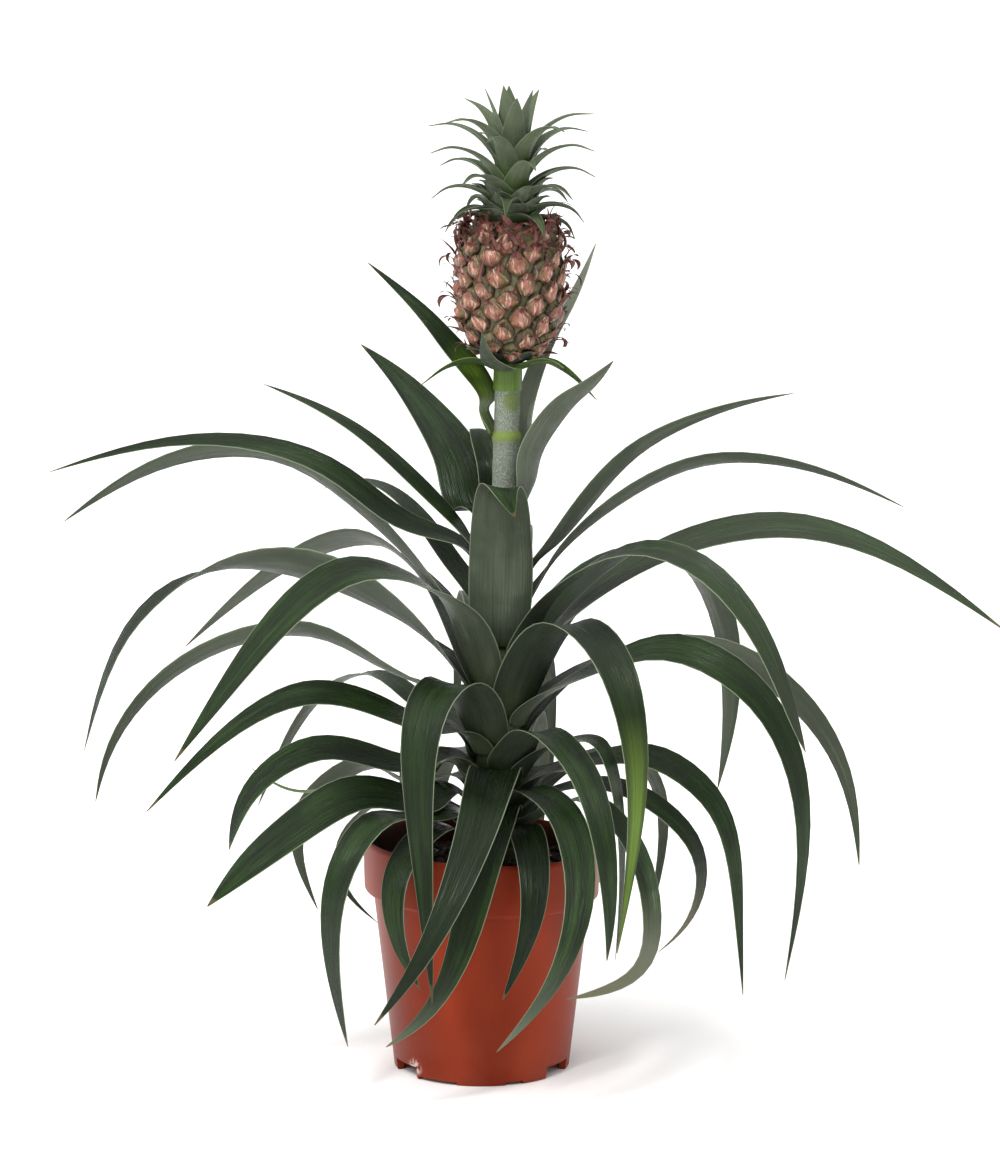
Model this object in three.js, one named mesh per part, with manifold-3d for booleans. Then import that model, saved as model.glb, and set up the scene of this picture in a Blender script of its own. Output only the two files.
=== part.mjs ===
// A potted pineapple plant: nursery pot, potting soil, leafy stem, fruit stalk, one young
// fruit with its crown, and the rosette of long arching leaves.
// Millimetres, +Z up. +X is to the right and -Y to the front.
import * as THREE from 'three';
import { ConvexGeometry } from 'three/addons/geometries/ConvexGeometry.js';
import { mergeVertices } from 'three/addons/utils/BufferGeometryUtils.js';
import Module from 'manifold-3d';

const wasm = await Module();
wasm.setup();

// ---------------------------------------------------------------- driving dimensions
const GAP = 0.3; // air between two pieces that touch
const GOLDEN_ANGLE = THREE.MathUtils.degToRad(137.508);

const POT = {
  height: 88,
  rimRadius: 45,
  wall: 1.3,
  skirtDrop: 20, // height of the rim's skirt
  shoulderRadius: 41.2, // body radius just below the skirt
  footRadius: 33.5,
  floorHeight: 5,
  skew: 0.02, // the soft pot stands a little taller on its left side
  sides: 44,
};
const SOIL = { level: 79, relief: 1.6, rootDepth: 32 };

// The plant stands beside the middle of the pot and leans a little to the right.
const PLANT = { x: 6, lean: THREE.MathUtils.degToRad(1.2) };
const STEM = { radius: 8.8, taperFrom: 135, topRadius: 5.4, top: 203, sides: 20 };
const STALK = { radius: 5, top: 273.8, sides: 16 };
const FRUIT = { bottom: 275, height: 46, radius: 18, eyes: 78, eyeRise: 2.5 };
const CROWN = { height: 26, radius: 8.4, leaves: 34, rise: 0.9 };

// Middle of the whole plant's outline as seen from above, which is put over the origin.
const OUTLINE_MIDDLE = { x: 15.8, y: 0.3 };

const BLADE = { edge: 0.6, middle: 0.95, tip: 1.3, segments: 8 };
const SHEATH = { halfWrap: 60, spacedWithin: 100, rise: 10, lowFlare: 0.85, highFlare: 0.42 };
const BEND = { step: 0.5, reach: 24, tries: 90, offStem: 0.9 };

// Leaves from the lowest to the highest. base is the least height where the sheath leaves
// the stem, turn its compass direction (0 right, 90 back, 180 left, 270 front), and through
// the points [distance from the stem, height] that the midrib passes after the sheath.
// sweep turns the leaf sideways near its tip, roll tips the blade about its midrib, twist
// adds to that tipping towards the end of the leaf.
const LEAVES = [
  { base: 83, turn: 230, sweep: 16, width: 15.5, through: [[38, 97], [60, 84], [66, 62], [67, 44]] },
  { base: 84, turn: 150, width: 10, through: [[40, 100], [66, 84], [70, 62], [52, 47]] },
  { base: 84, turn: 286, sweep: -14, width: 14.5, through: [[38, 98], [55, 84], [62, 64], [67, 42]] },
  { base: 84, turn: 62, width: 14.5, through: [[40, 104], [66, 104], [84, 84], [88, 52]] },
  { base: 86, turn: 318, sweep: -34, width: 13, through: [[46, 110], [77, 91], [95, 59], [102, 52]] },
  { base: 87, turn: 222, width: 20, through: [[35, 98], [60, 102], [80, 80], [80, 46], [73, 18]] },
  {
    base: 89, turn: 267, sweep: -25, width: 18.5,
    through: [[30, 101], [50, 98], [64, 80], [74, 46], [86, 26]],
  },
  { base: 90, turn: 105, width: 15.5, through: [[40, 108], [72, 108], [96, 84], [102, 50]] },
  {
    base: 92, turn: 350, width: 13, roll: -25,
    through: [[34, 110], [57, 106], [77, 86], [75, 63], [62, 47]],
  },
  {
    base: 93, turn: 205, width: 18.5, roll: 35, blunt: 1.6,
    through: [[31, 99], [57, 106], [91, 93], [119, 71]],
  },
  { base: 95, turn: 50, width: 13, through: [[40, 108], [76, 111], [103, 83], [91, 28]] },
  {
    base: 96, turn: 298, sweep: -28, width: 16.5,
    through: [[30, 109], [56, 106], [78, 84], [87, 56], [88, 28]],
  },
  {
    base: 98, turn: 145, width: 12, roll: -40,
    through: [[39, 102], [63, 108], [91, 88], [96, 70], [85, 46]],
  },
  { base: 100, turn: 170, width: 8, through: [[33, 97], [56, 104], [81, 102], [98, 111]] },
  {
    base: 102, turn: 345, width: 14.5, roll: -35,
    through: [[38, 121], [62, 123], [86, 105], [93, 75], [97, 34]],
  },
  { base: 104, turn: 80, width: 15.5, through: [[34, 122], [66, 124], [96, 98], [104, 62]] },
  {
    base: 105, turn: 266, sweep: -25, width: 20,
    through: [[26, 117], [50, 114], [68, 98], [86, 68], [92, 35]],
  },
  {
    base: 106, turn: 190, width: 15.5, roll: 30, blunt: 1,
    through: [[36, 115], [66, 124], [94, 109], [103, 85]],
  },
  { base: 108, turn: 332, width: 14.5, through: [[32, 124], [43, 123], [52, 100], [51, 46]] },
  { base: 109, turn: 115, width: 14.5, through: [[34, 128], [60, 134], [84, 114], [92, 80]] },
  {
    base: 110, turn: 293, sweep: 5, width: 16.5,
    through: [[26, 131], [50, 136], [84, 121], [94, 88], [86, 60]],
  },
  {
    base: 113, turn: 135, width: 13,
    through: [[37, 129], [66, 141], [98, 130], [120, 105], [137, 76]],
  },
  {
    base: 113, turn: 208, width: 20, roll: 30,
    through: [[36, 133], [66, 148], [100, 146], [147, 110]],
  },
  {
    base: 116, turn: 239, sweep: 14, width: 24,
    through: [[21, 142], [38, 153], [61, 141], [68, 99], [77, 40]],
  },
  { base: 119, turn: 78, width: 15.5, through: [[34, 142], [66, 148], [92, 124], [104, 86]] },
  {
    base: 122, turn: 28, width: 16.5, roll: 45,
    through: [[40, 153], [86, 156], [125, 138], [154, 104], [164, 61]],
  },
  {
    base: 124, turn: 178, width: 14.5, roll: -42,
    through: [[40, 149], [73, 166], [115, 156], [144, 128], [154, 97]],
  },
  {
    base: 127, turn: 338, width: 19.5, roll: -30,
    through: [[34, 153], [68, 167], [105, 150], [121, 110], [116, 44]],
  },
  { base: 130, turn: 98, width: 15.5, through: [[34, 156], [76, 170], [112, 148], [130, 106]] },
  {
    base: 132, turn: 301, sweep: 4, width: 24,
    through: [[24, 162], [46, 178], [77, 168], [91, 130], [77, 58]],
  },
  {
    base: 135, turn: 165, width: 23, roll: -58, twist: 98,
    through: [[29, 162], [68, 185], [113, 185], [148, 161], [168, 107]],
  },
  {
    base: 138, turn: 50, width: 20, blunt: 0.3,
    through: [[40, 176], [87, 188], [129, 170], [145, 126], [138, 85]],
  },
  {
    base: 142, turn: 142, width: 22, roll: -30,
    through: [[33, 178], [62, 195], [104, 184], [162, 140]],
  },
  {
    base: 146, turn: 228, width: 23, roll: 20,
    through: [[22, 175], [51, 193], [95, 199], [139, 171], [172, 142]],
  },
  {
    base: 150, turn: 350, width: 19.5, roll: -26, twist: -30,
    through: [[34, 182], [73, 207], [127, 212], [191, 177]],
  },
  { base: 153, turn: 85, width: 14.5, through: [[28, 182], [60, 198], [96, 186], [125, 150]] },
  {
    base: 156, turn: 160, width: 17.5, roll: -45,
    through: [[34, 187], [82, 226], [134, 226], [184, 196]],
  },
  {
    base: 159, turn: 328, width: 18.5, roll: -15,
    through: [[23, 184], [58, 205], [99, 193], [122, 157], [131, 138]],
  },
  {
    base: 163, turn: 263, sweep: 13, width: 26.5, cup: 0.6,
    through: [[14, 198], [19, 220], [27, 227], [35, 217]],
  },
  {
    base: 166, turn: 178, width: 15.5, roll: 32,
    through: [[30, 193], [62, 226], [114, 239], [174, 224]],
  },
  { base: 170, turn: 148, width: 14.5, through: [[26, 194], [45, 213], [66, 220], [84, 214]] },
  { base: 174, turn: 8, width: 11, roll: 45, through: [[25, 202], [64, 230], [108, 233], [155, 215]] },
  { base: 178, turn: 92, width: 13, through: [[20, 202], [42, 212], [66, 210], [94, 188]] },
  { base: 182, turn: 345, width: 10.5, roll: 42, through: [[22, 204], [45, 236], [78, 256], [110, 265]] },
  { base: 184, turn: 181, width: 13, roll: 25, through: [[20, 208], [43, 233], [66, 250], [92, 261]] },
  { base: 190, turn: 128, width: 24, roll: 32, through: [[20, 203], [29, 227], [56, 251], [94, 268]] },
  { base: 209, turn: 115, width: 13, through: [[13, 229], [20, 237], [26, 241], [32, 240]] },
  {
    base: 214, turn: 330, width: 14.5, roll: 25,
    through: [[12, 238], [24, 256], [36, 266], [45, 275]],
  },
  { base: 220, turn: 48, width: 10, through: [[10, 250], [21, 274], [38, 295], [49, 313]] },
  { base: 242, turn: 165, width: 13, roll: 35, through: [[9, 259], [21, 274], [36, 290], [56, 306]] },
];

const COLOURS = {
  pot: 0x8a3a24,
  soil: 0x1d1612,
  stem: 0x5a5a42,
  stalk: 0x6c7a5c,
  leaf: 0x33432c,
  fruit: 0x93704f,
  crown: 0x68765c,
};

// ---------------------------------------------------------------- solids
/** A closed, merged geometry without empty triangles, as a solid that can be cut. */
function toSolid(geometry) {
  const bare = geometry.clone();
  bare.deleteAttribute('normal');
  bare.deleteAttribute('uv');
  const merged = mergeVertices(bare, 1e-4);
  const index = [...merged.index.array];
  const triVerts = [];
  for (let i = 0; i < index.length; i += 3) {
    const [a, b, c] = index.slice(i, i + 3);
    if (a !== b && b !== c && c !== a) triVerts.push(a, b, c);
  }
  return new wasm.Manifold(
    new wasm.Mesh({
      numProp: 3,
      vertProperties: new Float32Array(merged.attributes.position.array),
      triVerts: new Uint32Array(triVerts),
    }),
  );
}

/** The faces of a solid, as a geometry. */
function toGeometry(solid) {
  const mesh = solid.getMesh();
  const geometry = new THREE.BufferGeometry();
  const positions = new Float32Array(mesh.vertProperties);
  geometry.setAttribute('position', new THREE.BufferAttribute(positions, 3));
  geometry.setIndex([...mesh.triVerts]);
  geometry.computeVertexNormals();
  return geometry;
}

/** Joins solids into one, two halves at a time. */
function join(solids) {
  if (solids.length === 1) return solids[0];
  const half = solids.length >> 1;
  return join(solids.slice(0, half)).add(join(solids.slice(half)));
}

/** A turned solid about +Z from [radius, height] points that start and end on the axis. */
function turned(profile, sides) {
  const points = profile.map(([radius, height]) => new THREE.Vector2(radius, height));
  return new THREE.LatheGeometry(points, sides).rotateX(Math.PI / 2);
}

/** A closed skin over rings of equal size, each ring the upper row then the lower row back. */
function skin(rings) {
  const size = rings[0].length;
  const half = size / 2;
  const index = [];
  for (let r = 0; r + 1 < rings.length; r += 1) {
    const a = r * size;
    const b = a + size;
    for (let k = 0; k < size; k += 1) {
      const next = (k + 1) % size;
      if (k < half) index.push(a + k, b + next, a + next, a + k, b + k, b + next);
      else index.push(a + k, b + k, a + next, a + next, b + k, b + next);
    }
  }
  const last = (rings.length - 1) * size;
  for (let k = 0; k + 1 < half; k += 1) {
    const under = size - 1 - k;
    index.push(k, k + 1, under - 1, k, under - 1, under);
    index.push(last + k, last + under - 1, last + k + 1, last + k, last + under, last + under - 1);
  }
  const geometry = new THREE.BufferGeometry();
  const flat = rings.flat().flatMap((point) => point.toArray());
  geometry.setAttribute('position', new THREE.Float32BufferAttribute(flat, 3));
  geometry.setIndex(index);
  geometry.computeVertexNormals();
  return geometry;
}

const { smoothstep, lerp, degToRad } = THREE.MathUtils;

/** One cross-section of a channelled blade, curled to a radius towards its upper side. */
function bladeRing({ centre, across, up, width, curl, edge, middle, columns }) {
  const upper = [];
  const lower = [];
  for (let k = 0; k < columns; k += 1) {
    const side = (2 * k) / (columns - 1) - 1;
    const angle = (side * width) / 2 / curl;
    const normal = across.clone().multiplyScalar(-Math.sin(angle)).addScaledVector(up, Math.cos(angle));
    const point = centre
      .clone()
      .addScaledVector(across, curl * Math.sin(angle))
      .addScaledVector(up, curl * (1 - Math.cos(angle)));
    const half = lerp(middle, edge, side * side) / 2;
    upper.push(point.clone().addScaledVector(normal, half));
    lower.unshift(point.clone().addScaledVector(normal, -half));
  }
  return [...upper, ...lower];
}

// ---------------------------------------------------------------- pot and soil
/** A block between two radii and two compass directions in degrees. */
function sector(inner, outer, from, to, bottom, top) {
  const shape = new THREE.Shape();
  shape.absarc(0, 0, outer, degToRad(from), degToRad(to), false);
  shape.absarc(0, 0, inner, degToRad(to), degToRad(from), true);
  const block = new THREE.ExtrudeGeometry(shape, {
    depth: top - bottom,
    bevelEnabled: false,
    curveSegments: 3,
  });
  return block.translate(0, 0, bottom);
}

/** Makes the pot's left side taller than its right, by the height of each point. */
function skewed(geometry) {
  const position = geometry.attributes.position;
  for (let i = 0; i < position.count; i += 1) {
    const stretch = 1 - (POT.skew * position.getX(i)) / POT.rimRadius;
    position.setZ(i, position.getZ(i) * stretch);
  }
  return geometry;
}

function potGeometry() {
  const { height, rimRadius, wall, skirtDrop, shoulderRadius, footRadius, floorHeight } = POT;
  const step = height - skirtDrop;
  const profile = [
    [0, floorHeight],
    [footRadius - 3.2, floorHeight],
    [footRadius - 2.4, 0],
    [footRadius - 0.4, 0],
    [footRadius, 0.6],
    [shoulderRadius, step - 1.2],
    [rimRadius - 1, step],
    [rimRadius - 0.3, step + 1],
    [rimRadius, height - 1.4],
    [rimRadius - 0.5, height],
    [rimRadius - 1.6, height],
    [rimRadius - wall - 1, height - 2],
    [shoulderRadius - wall, step - 1],
    [footRadius - wall, floorHeight + wall + 1],
    [footRadius - wall - 1.5, floorHeight + wall],
    [0, floorHeight + wall],
  ];
  let pot = toSolid(turned(profile, POT.sides));
  // Three deep drain notches in the foot, with low gaps between the pads it stands on.
  for (let third = 0; third < 3; third += 1) {
    const start = 197 + 120 * third;
    const cuts = [
      sector(footRadius - 4.2, footRadius + 3, start, start + 26, -1, floorHeight - 0.4),
      sector(footRadius - 4.2, footRadius + 3, start + 28, start + 57, -1, 1.2),
      sector(footRadius - 4.2, footRadius + 3, start + 89, start + 101, -1, 1.2),
    ];
    for (const cut of cuts) pot = pot.subtract(toSolid(cut));
  }
  return skewed(toGeometry(pot));
}

/** Low mounds in the soil's surface. */
function soilRelief(x, y) {
  return SOIL.relief * Math.sin(0.21 * x + 0.6) * Math.cos(0.17 * y + 0.4);
}

function soilGeometry() {
  const { footRadius, shoulderRadius, rimRadius, wall, floorHeight, height, skirtDrop } = POT;
  const step = height - skirtDrop;
  const floor = floorHeight + wall + GAP;
  const edge = rimRadius - wall - 1 - 2 * GAP - 0.6;
  const profile = [
    [0, floor],
    [footRadius - wall - 2, floor],
    [footRadius - wall - 0.7, floor + 1.4],
    [shoulderRadius - wall - 2 * GAP, step - 1],
    [edge, SOIL.level - 0.5],
    [36, SOIL.level],
    [27, SOIL.level],
    [18, SOIL.level + 0.6],
    [0, SOIL.level + 1],
  ];
  const soil = turned(profile, 30);
  const position = soil.attributes.position;
  for (let i = 0; i < position.count; i += 1) {
    const [x, y, z] = [position.getX(i), position.getY(i), position.getZ(i)];
    if (z >= SOIL.level) position.setZ(i, z + soilRelief(x, y));
  }
  const hole = new THREE.CylinderGeometry(STEM.radius + GAP, STEM.radius + GAP, 60, STEM.sides);
  hole.rotateX(Math.PI / 2).translate(0, 0, SOIL.level - SOIL.rootDepth + 30 - GAP);
  hole.applyMatrix4(plantMatrix());
  return skewed(toGeometry(toSolid(soil).subtract(toSolid(hole))));
}

// ---------------------------------------------------------------- stem and stalk
/** Places plant heights above the pot's foot, leaning about the soil's surface. */
function plantMatrix() {
  const matrix = new THREE.Matrix4().makeTranslation(PLANT.x, 0, SOIL.level);
  matrix.multiply(new THREE.Matrix4().makeRotationY(PLANT.lean));
  return matrix.multiply(new THREE.Matrix4().makeTranslation(0, 0, -SOIL.level));
}

/** Radius of the stem or the fruit stalk at a height. */
function stemRadius(height) {
  if (height > STEM.top) return STALK.radius;
  return lerp(STEM.radius, STEM.topRadius, smoothstep(height, STEM.taperFrom, STEM.top));
}

function stemGeometry() {
  const bottom = SOIL.level - SOIL.rootDepth;
  const profile = [[0, bottom], [STEM.radius - 2.5, bottom], [STEM.radius, bottom + 6]];
  for (const height of [135, 158, 170, 182, STEM.top]) profile.push([stemRadius(height), height]);
  profile.push([0, STEM.top]);
  return turned(profile, STEM.sides);
}

/** A short pointed bract that leaves the stalk or the fruit's foot. */
function bract({ turn, width, through }) {
  const curve = new THREE.CatmullRomCurve3(through.map(([r, z]) => new THREE.Vector3(r, 0, z)));
  const segments = 4;
  const rings = [];
  for (let s = 0; s <= segments; s += 1) {
    const t = s / segments;
    const tangent = curve.getTangent(t);
    const across = new THREE.Vector3(0, 1, 0);
    const up = tangent.clone().cross(across);
    const taper = Math.max(1 - t ** 1.5, 0.14);
    rings.push(
      bladeRing({
        centre: curve.getPoint(t),
        across,
        up,
        width: width * taper,
        curl: width * 0.8,
        edge: BLADE.edge,
        middle: BLADE.middle,
        columns: 3,
      }),
    );
  }
  return skin(rings).rotateZ(degToRad(turn));
}

// Bracts under the fruit: green ones to the left and right, a grey one in front.
const STALK_BRACTS = [
  { turn: 205, width: 8, through: [[4.2, 268], [14, 271], [25, 270], [36, 264]] },
  { turn: 2, width: 8, through: [[4.2, 268], [14, 271], [24, 267], [34, 258]] },
  { turn: 242, width: 9, through: [[4.4, 257], [9, 263], [16.5, 270], [21.5, 282]] },
  { turn: 125, width: 6, through: [[4.2, 267], [12, 270], [18, 268], [24, 262]] },
  { turn: 318, width: 6, through: [[4.2, 269], [14, 272], [22, 273], [28, 271]] },
  { turn: 82, width: 7, through: [[4.2, 266], [12, 270], [20, 267], [28, 257]] },
];

function stalkGeometry() {
  const { radius, top, sides } = STALK;
  const profile = [
    [0, STEM.top + GAP],
    [radius + 0.2, STEM.top + GAP],
    [radius, 228],
    [radius, 240],
    [radius + 0.7, 243],
    [radius - 0.2, 245],
    [radius - 0.2, 260],
    [radius + 0.5, 261],
    [radius + 0.3, 270],
    [radius - 0.4, top - 1],
    [radius - 2.2, top],
    [0, top],
  ];
  return toGeometry(join([turned(profile, sides), ...STALK_BRACTS.map(bract)].map(toSolid)));
}

// ---------------------------------------------------------------- fruit
/** Radius of the fruit's flesh at a fraction of its height. */
function fruitRadius(share) {
  const barrel = Math.sqrt(Math.max(0, 1 - Math.abs(1.86 * share - 0.98) ** 2.8));
  return FRUIT.radius * (0.34 + 0.66 * barrel) * lerp(0.94, 1.02, share);
}

/** Shares of the fruit's height that divide its surface evenly among the eyes. */
function evenShares(count) {
  const steps = 400;
  const sums = [0];
  for (let i = 1; i <= steps; i += 1) {
    const [low, high] = [fruitRadius((i - 1) / steps), fruitRadius(i / steps)];
    const slant = Math.hypot(FRUIT.height / steps, high - low);
    sums.push(sums[i - 1] + slant * (low + high));
  }
  const shares = [];
  for (let eye = 0; eye < count; eye += 1) {
    const wanted = (sums[steps] * (eye + 0.5)) / count;
    shares.push(sums.findIndex((sum) => sum >= wanted) / steps);
  }
  return shares;
}

/** A point on the fruit's skin, lifted off it along the skin's slope. */
function skinPoint(share, turn, lift = 0) {
  const rise = 0.01;
  const slope = (fruitRadius(share + rise) - fruitRadius(share - rise)) / (2 * rise * FRUIT.height);
  const out = new THREE.Vector3(1, 0, -slope).normalize();
  const point = new THREE.Vector3(fruitRadius(share), 0, share * FRUIT.height);
  return point.addScaledVector(out, lift).applyAxisAngle(new THREE.Vector3(0, 0, 1), turn);
}

/** The eyes' centres by the golden angle, evenly spread over the skin. */
function eyeCentres() {
  return evenShares(FRUIT.eyes).map((share, i) => ({ share, turn: i * GOLDEN_ANGLE }));
}

/** The flesh: every eye a boss, with furrows where its cell meets the next ones. */
function fleshGeometry(centres) {
  const { eyeRise, height } = FRUIT;
  const poles = [new THREE.Vector3(0, 0, 0), new THREE.Vector3(0, 0, height)];
  const spots = [...centres.map(({ share, turn }) => skinPoint(share, turn)), ...poles];
  const middle = new THREE.Vector3(0, 0, height / 2);
  const corner = new ConvexGeometry(spots).attributes.position;
  const positions = [];
  const furrow = (point) => {
    const inwards = middle.clone().setZ(lerp(point.z, height / 2, 0.4)).sub(point).normalize();
    return point.clone().addScaledVector(inwards, 0.35);
  };
  const crest = (point) => {
    if (poles.some((pole) => pole.distanceTo(point) < 1)) return point.clone();
    const outwards = point.clone().sub(middle.clone().setZ(lerp(point.z, height / 2, 0.4)));
    const rise = eyeRise * lerp(1, 0.3, smoothstep(point.z, height - 1.6, height - 0.3));
    return point.clone().addScaledVector(outwards.normalize(), rise);
  };
  for (let i = 0; i < corner.count; i += 3) {
    const cell = [0, 1, 2].map((k) => new THREE.Vector3().fromBufferAttribute(corner, i + k));
    const deep = furrow(cell[0].clone().add(cell[1]).add(cell[2]).divideScalar(3));
    for (let k = 0; k < 3; k += 1) {
      const [from, to] = [cell[k], cell[(k + 1) % 3]];
      const edge = furrow(from.clone().lerp(to, 0.5));
      const [high, next] = [crest(from), crest(to)];
      const shelf = high.clone().lerp(edge, 0.56).lerp(crest(from.clone().lerp(to, 0.28)), 0.62);
      const nextShelf = next.clone().lerp(edge, 0.56).lerp(crest(from.clone().lerp(to, 0.72)), 0.62);
      for (const [a, b, c] of [
        [high, shelf, deep],
        [shelf, edge, deep],
        [edge, nextShelf, deep],
        [nextShelf, next, deep],
      ]) {
        positions.push(...a.toArray(), ...b.toArray(), ...c.toArray());
      }
    }
  }
  const flesh = new THREE.BufferGeometry();
  flesh.setAttribute('position', new THREE.Float32BufferAttribute(positions, 3));
  return flesh;
}

/** The dry point of the bract over an eye, curling off the skin towards the crown. */
function dryPoint({ share, turn }) {
  const nearCrown = smoothstep(share, 0.72, 1);
  const length = lerp(6, 9.5, nearCrown);
  const outwards = lerp(2.2, 4, nearCrown);
  const point = new THREE.ConeGeometry(1.9, length, 3, 2);
  const position = point.attributes.position;
  const root = skinPoint(share, 0, FRUIT.eyeRise - 1.4);
  for (let i = 0; i < position.count; i += 1) {
    const along = Math.max(0, position.getY(i) / length + 0.5);
    const x = root.x + position.getZ(i) * 0.5 + outwards * along ** 1.6;
    const z = root.z - 1.6 + length * Math.sin(along * 1.25) * 0.8;
    position.setXYZ(i, x, position.getX(i), z);
  }
  return point.rotateZ(turn);
}

function fruitGeometry() {
  const centres = eyeCentres();
  const pointed = centres.filter(({ share }, eye) => share > 0.84 || (eye % 2 === 0 && share > 0.12));
  const pieces = [fleshGeometry(centres), ...pointed.map(dryPoint)];
  return toGeometry(join(pieces.map(toSolid)));
}

// ---------------------------------------------------------------- crown
/** One crown leaf on a core of the crown, broad at its root with a thin tip curling back. */
function crownLeaf(order) {
  const share = order / (CROWN.leaves - 1);
  const height = CROWN.height * share;
  const inner = smoothstep(share, 0.74, 0.95);
  const length = lerp(20, 36, smoothstep(share, 0, 0.75)) * lerp(1, 0.66, inner);
  const lift = degToRad(lerp(25, 72, smoothstep(share, -0.1, 0.7)) + 5 * inner);
  const curl = degToRad(lerp(84, 76, share) * (1 - inner));
  const root = CROWN.radius * lerp(1, 0.45, share) - 1.8;
  const segments = 4;
  const rings = [];
  const centre = new THREE.Vector3(root, 0, height);
  for (let s = 0; s <= segments; s += 1) {
    const t = s / segments;
    const tilt = lift - curl * t ** 1.6;
    const along = new THREE.Vector3(Math.cos(tilt), 0, Math.sin(tilt));
    const across = new THREE.Vector3(0, 1, 0);
    if (s > 0) centre.addScaledVector(along, (length + 3) / segments);
    const broad = lerp(13, 12, smoothstep(share, 0, 0.4));
    const width = broad * Math.max(1 - t ** lerp(0.95, 1.7, share ** 2), 0.07);
    rings.push(
      bladeRing({
        centre: centre.clone(),
        across,
        up: along.clone().cross(across),
        width,
        curl: Math.max(0.62 * width, 1),
        edge: BLADE.edge,
        middle: 1.1,
        columns: 3,
      }),
    );
  }
  return skin(rings).rotateZ(order * GOLDEN_ANGLE + 0.4);
}

function crownGeometry() {
  const { height, radius, leaves } = CROWN;
  const core = turned(
    [
      [0, -0.4],
      [radius - 0.5, -0.4],
      [radius - 0.8, 8],
      [radius * 0.75, height * 0.6],
      [radius * 0.35, height],
      [0, height + 3],
    ],
    10,
  );
  const pieces = [core];
  for (let order = 0; order < leaves; order += 1) pieces.push(crownLeaf(order));
  return toGeometry(join(pieces.map(toSolid)));
}

// ---------------------------------------------------------------- leaves
/** Outward lean of a sheath per height: the low leaves spread more than the high ones. */
function flareAt(height) {
  return lerp(SHEATH.lowFlare, SHEATH.highFlare, smoothstep(height, 84, 135));
}

/** The leaves with each sheath lifted clear of the older ones that it overlaps. */
function seatedLeaves() {
  const seated = [];
  for (const leaf of LEAVES) {
    let { base } = leaf;
    for (const older of seated) {
      const apart = Math.abs(((leaf.turn - older.turn + 540) % 360) - 180);
      const spacing = (BLADE.middle + GAP + 0.15) / flareAt(older.base);
      if (apart < SHEATH.spacedWithin) base = Math.max(base, older.base + spacing);
    }
    seated.push({ ...leaf, base });
  }
  return seated;
}

/** The midrib's curve of a leaf, in the plant's own heights. */
function midrib({ base, turn, sweep = 0, through }) {
  const clear = (GAP + BLADE.middle / 2 + stemRadius(base)) * 1.07;
  const points = [
    [clear, base],
    [clear + flareAt(base) * SHEATH.rise, base + SHEATH.rise],
    ...through,
  ];
  return new THREE.CatmullRomCurve3(
    points.map(([radius, height], i) => {
      const t = i / (points.length - 1);
      const angle = degToRad(turn + sweep * t ** 4);
      return new THREE.Vector3(radius * Math.cos(angle), radius * Math.sin(angle), height);
    }),
    false,
    'centripetal',
  );
}

/** Stations along a leaf: centre, side and upper directions, width and channel radius. */
function leafStations(leaf) {
  const { width, roll = 0, twist = 0, cup = 1, blunt = 0 } = leaf;
  const curve = midrib(leaf);
  const sheathRadius = curve.getPoint(0).setZ(0).length();
  const sheathWidth = 2 * degToRad(SHEATH.halfWrap) * sheathRadius;
  const stations = [];
  for (let s = 0; s <= BLADE.segments; s += 1) {
    const t = s / BLADE.segments;
    const centre = curve.getPoint(t);
    const tangent = curve.getTangent(t);
    const around = Math.atan2(centre.y, centre.x);
    const level = new THREE.Vector3(-Math.sin(around), Math.cos(around), 0);
    const side = level.addScaledVector(tangent, -level.dot(tangent)).normalize();
    const tip = degToRad(roll * smoothstep(t, 0.15, 0.6) + twist * smoothstep(t, 0.5, 0.85));
    const across = side.clone().applyAxisAngle(tangent, -tip);
    const up = tangent.clone().cross(across);
    const late = Math.max(0, (t - 0.35) / 0.65);
    const taper = 1 - late ** lerp(1.7, 3.4, blunt);
    const leafBlade = lerp(sheathWidth, width, smoothstep(t, 0.02, 0.3));
    const distance = Math.hypot(centre.x, centre.y);
    const sheathCurl = 1.12 * Math.max(distance, sheathRadius);
    const curl = lerp(sheathCurl, 1.15 * cup * width, smoothstep(t, 0.12, 0.4));
    stations.push({
      centre,
      across,
      up,
      width: Math.max(leafBlade * taper, BLADE.tip),
      curl,
      edge: BLADE.edge,
      middle: lerp(BLADE.middle, BLADE.edge, t),
      columns: 4,
    });
  }
  return stations;
}

/** A leaf's solid from its stations, with a layer of air around it where that is asked. */
function leafSolid(stations, air = 0) {
  const rings = stations.map((station) =>
    bladeRing({
      ...station,
      width: station.width + 2 * air,
      edge: station.edge + 2 * air,
      middle: station.middle + 2 * air,
    }),
  );
  return toSolid(skin(rings));
}

/** The station that is nearest to a point. */
function nearest(stations, point) {
  const distances = stations.map(({ centre }) => centre.distanceTo(point));
  return distances.indexOf(Math.min(...distances));
}

/** Bends a leaf away from an older one around the spot where they cross. */
function bendAway(stations, older, spot) {
  const at = nearest(stations, spot);
  const from = older[nearest(older, spot)];
  const onStem = Math.hypot(spot.x, spot.y) < 24;
  const offset = stations[at].centre.clone().sub(from.centre);
  const away = onStem
    ? new THREE.Vector3(0, 0, 1)
    : from.up.clone().multiplyScalar(Math.sign(offset.dot(from.up)) || 1);
  const outwards = spot.clone().setZ(0).normalize();
  away.addScaledVector(outwards, -Math.min(0, away.dot(outwards)) * BEND.offStem).normalize();
  stations.forEach(({ centre }, s) => {
    const distance = centre.distanceTo(stations[at].centre) / BEND.reach;
    const share = onStem && s < at ? 1 : Math.exp(-distance * distance);
    centre.addScaledVector(away, BEND.step * share * (onStem ? 1 : smoothstep(s, 0, 2)));
  });
}

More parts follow.
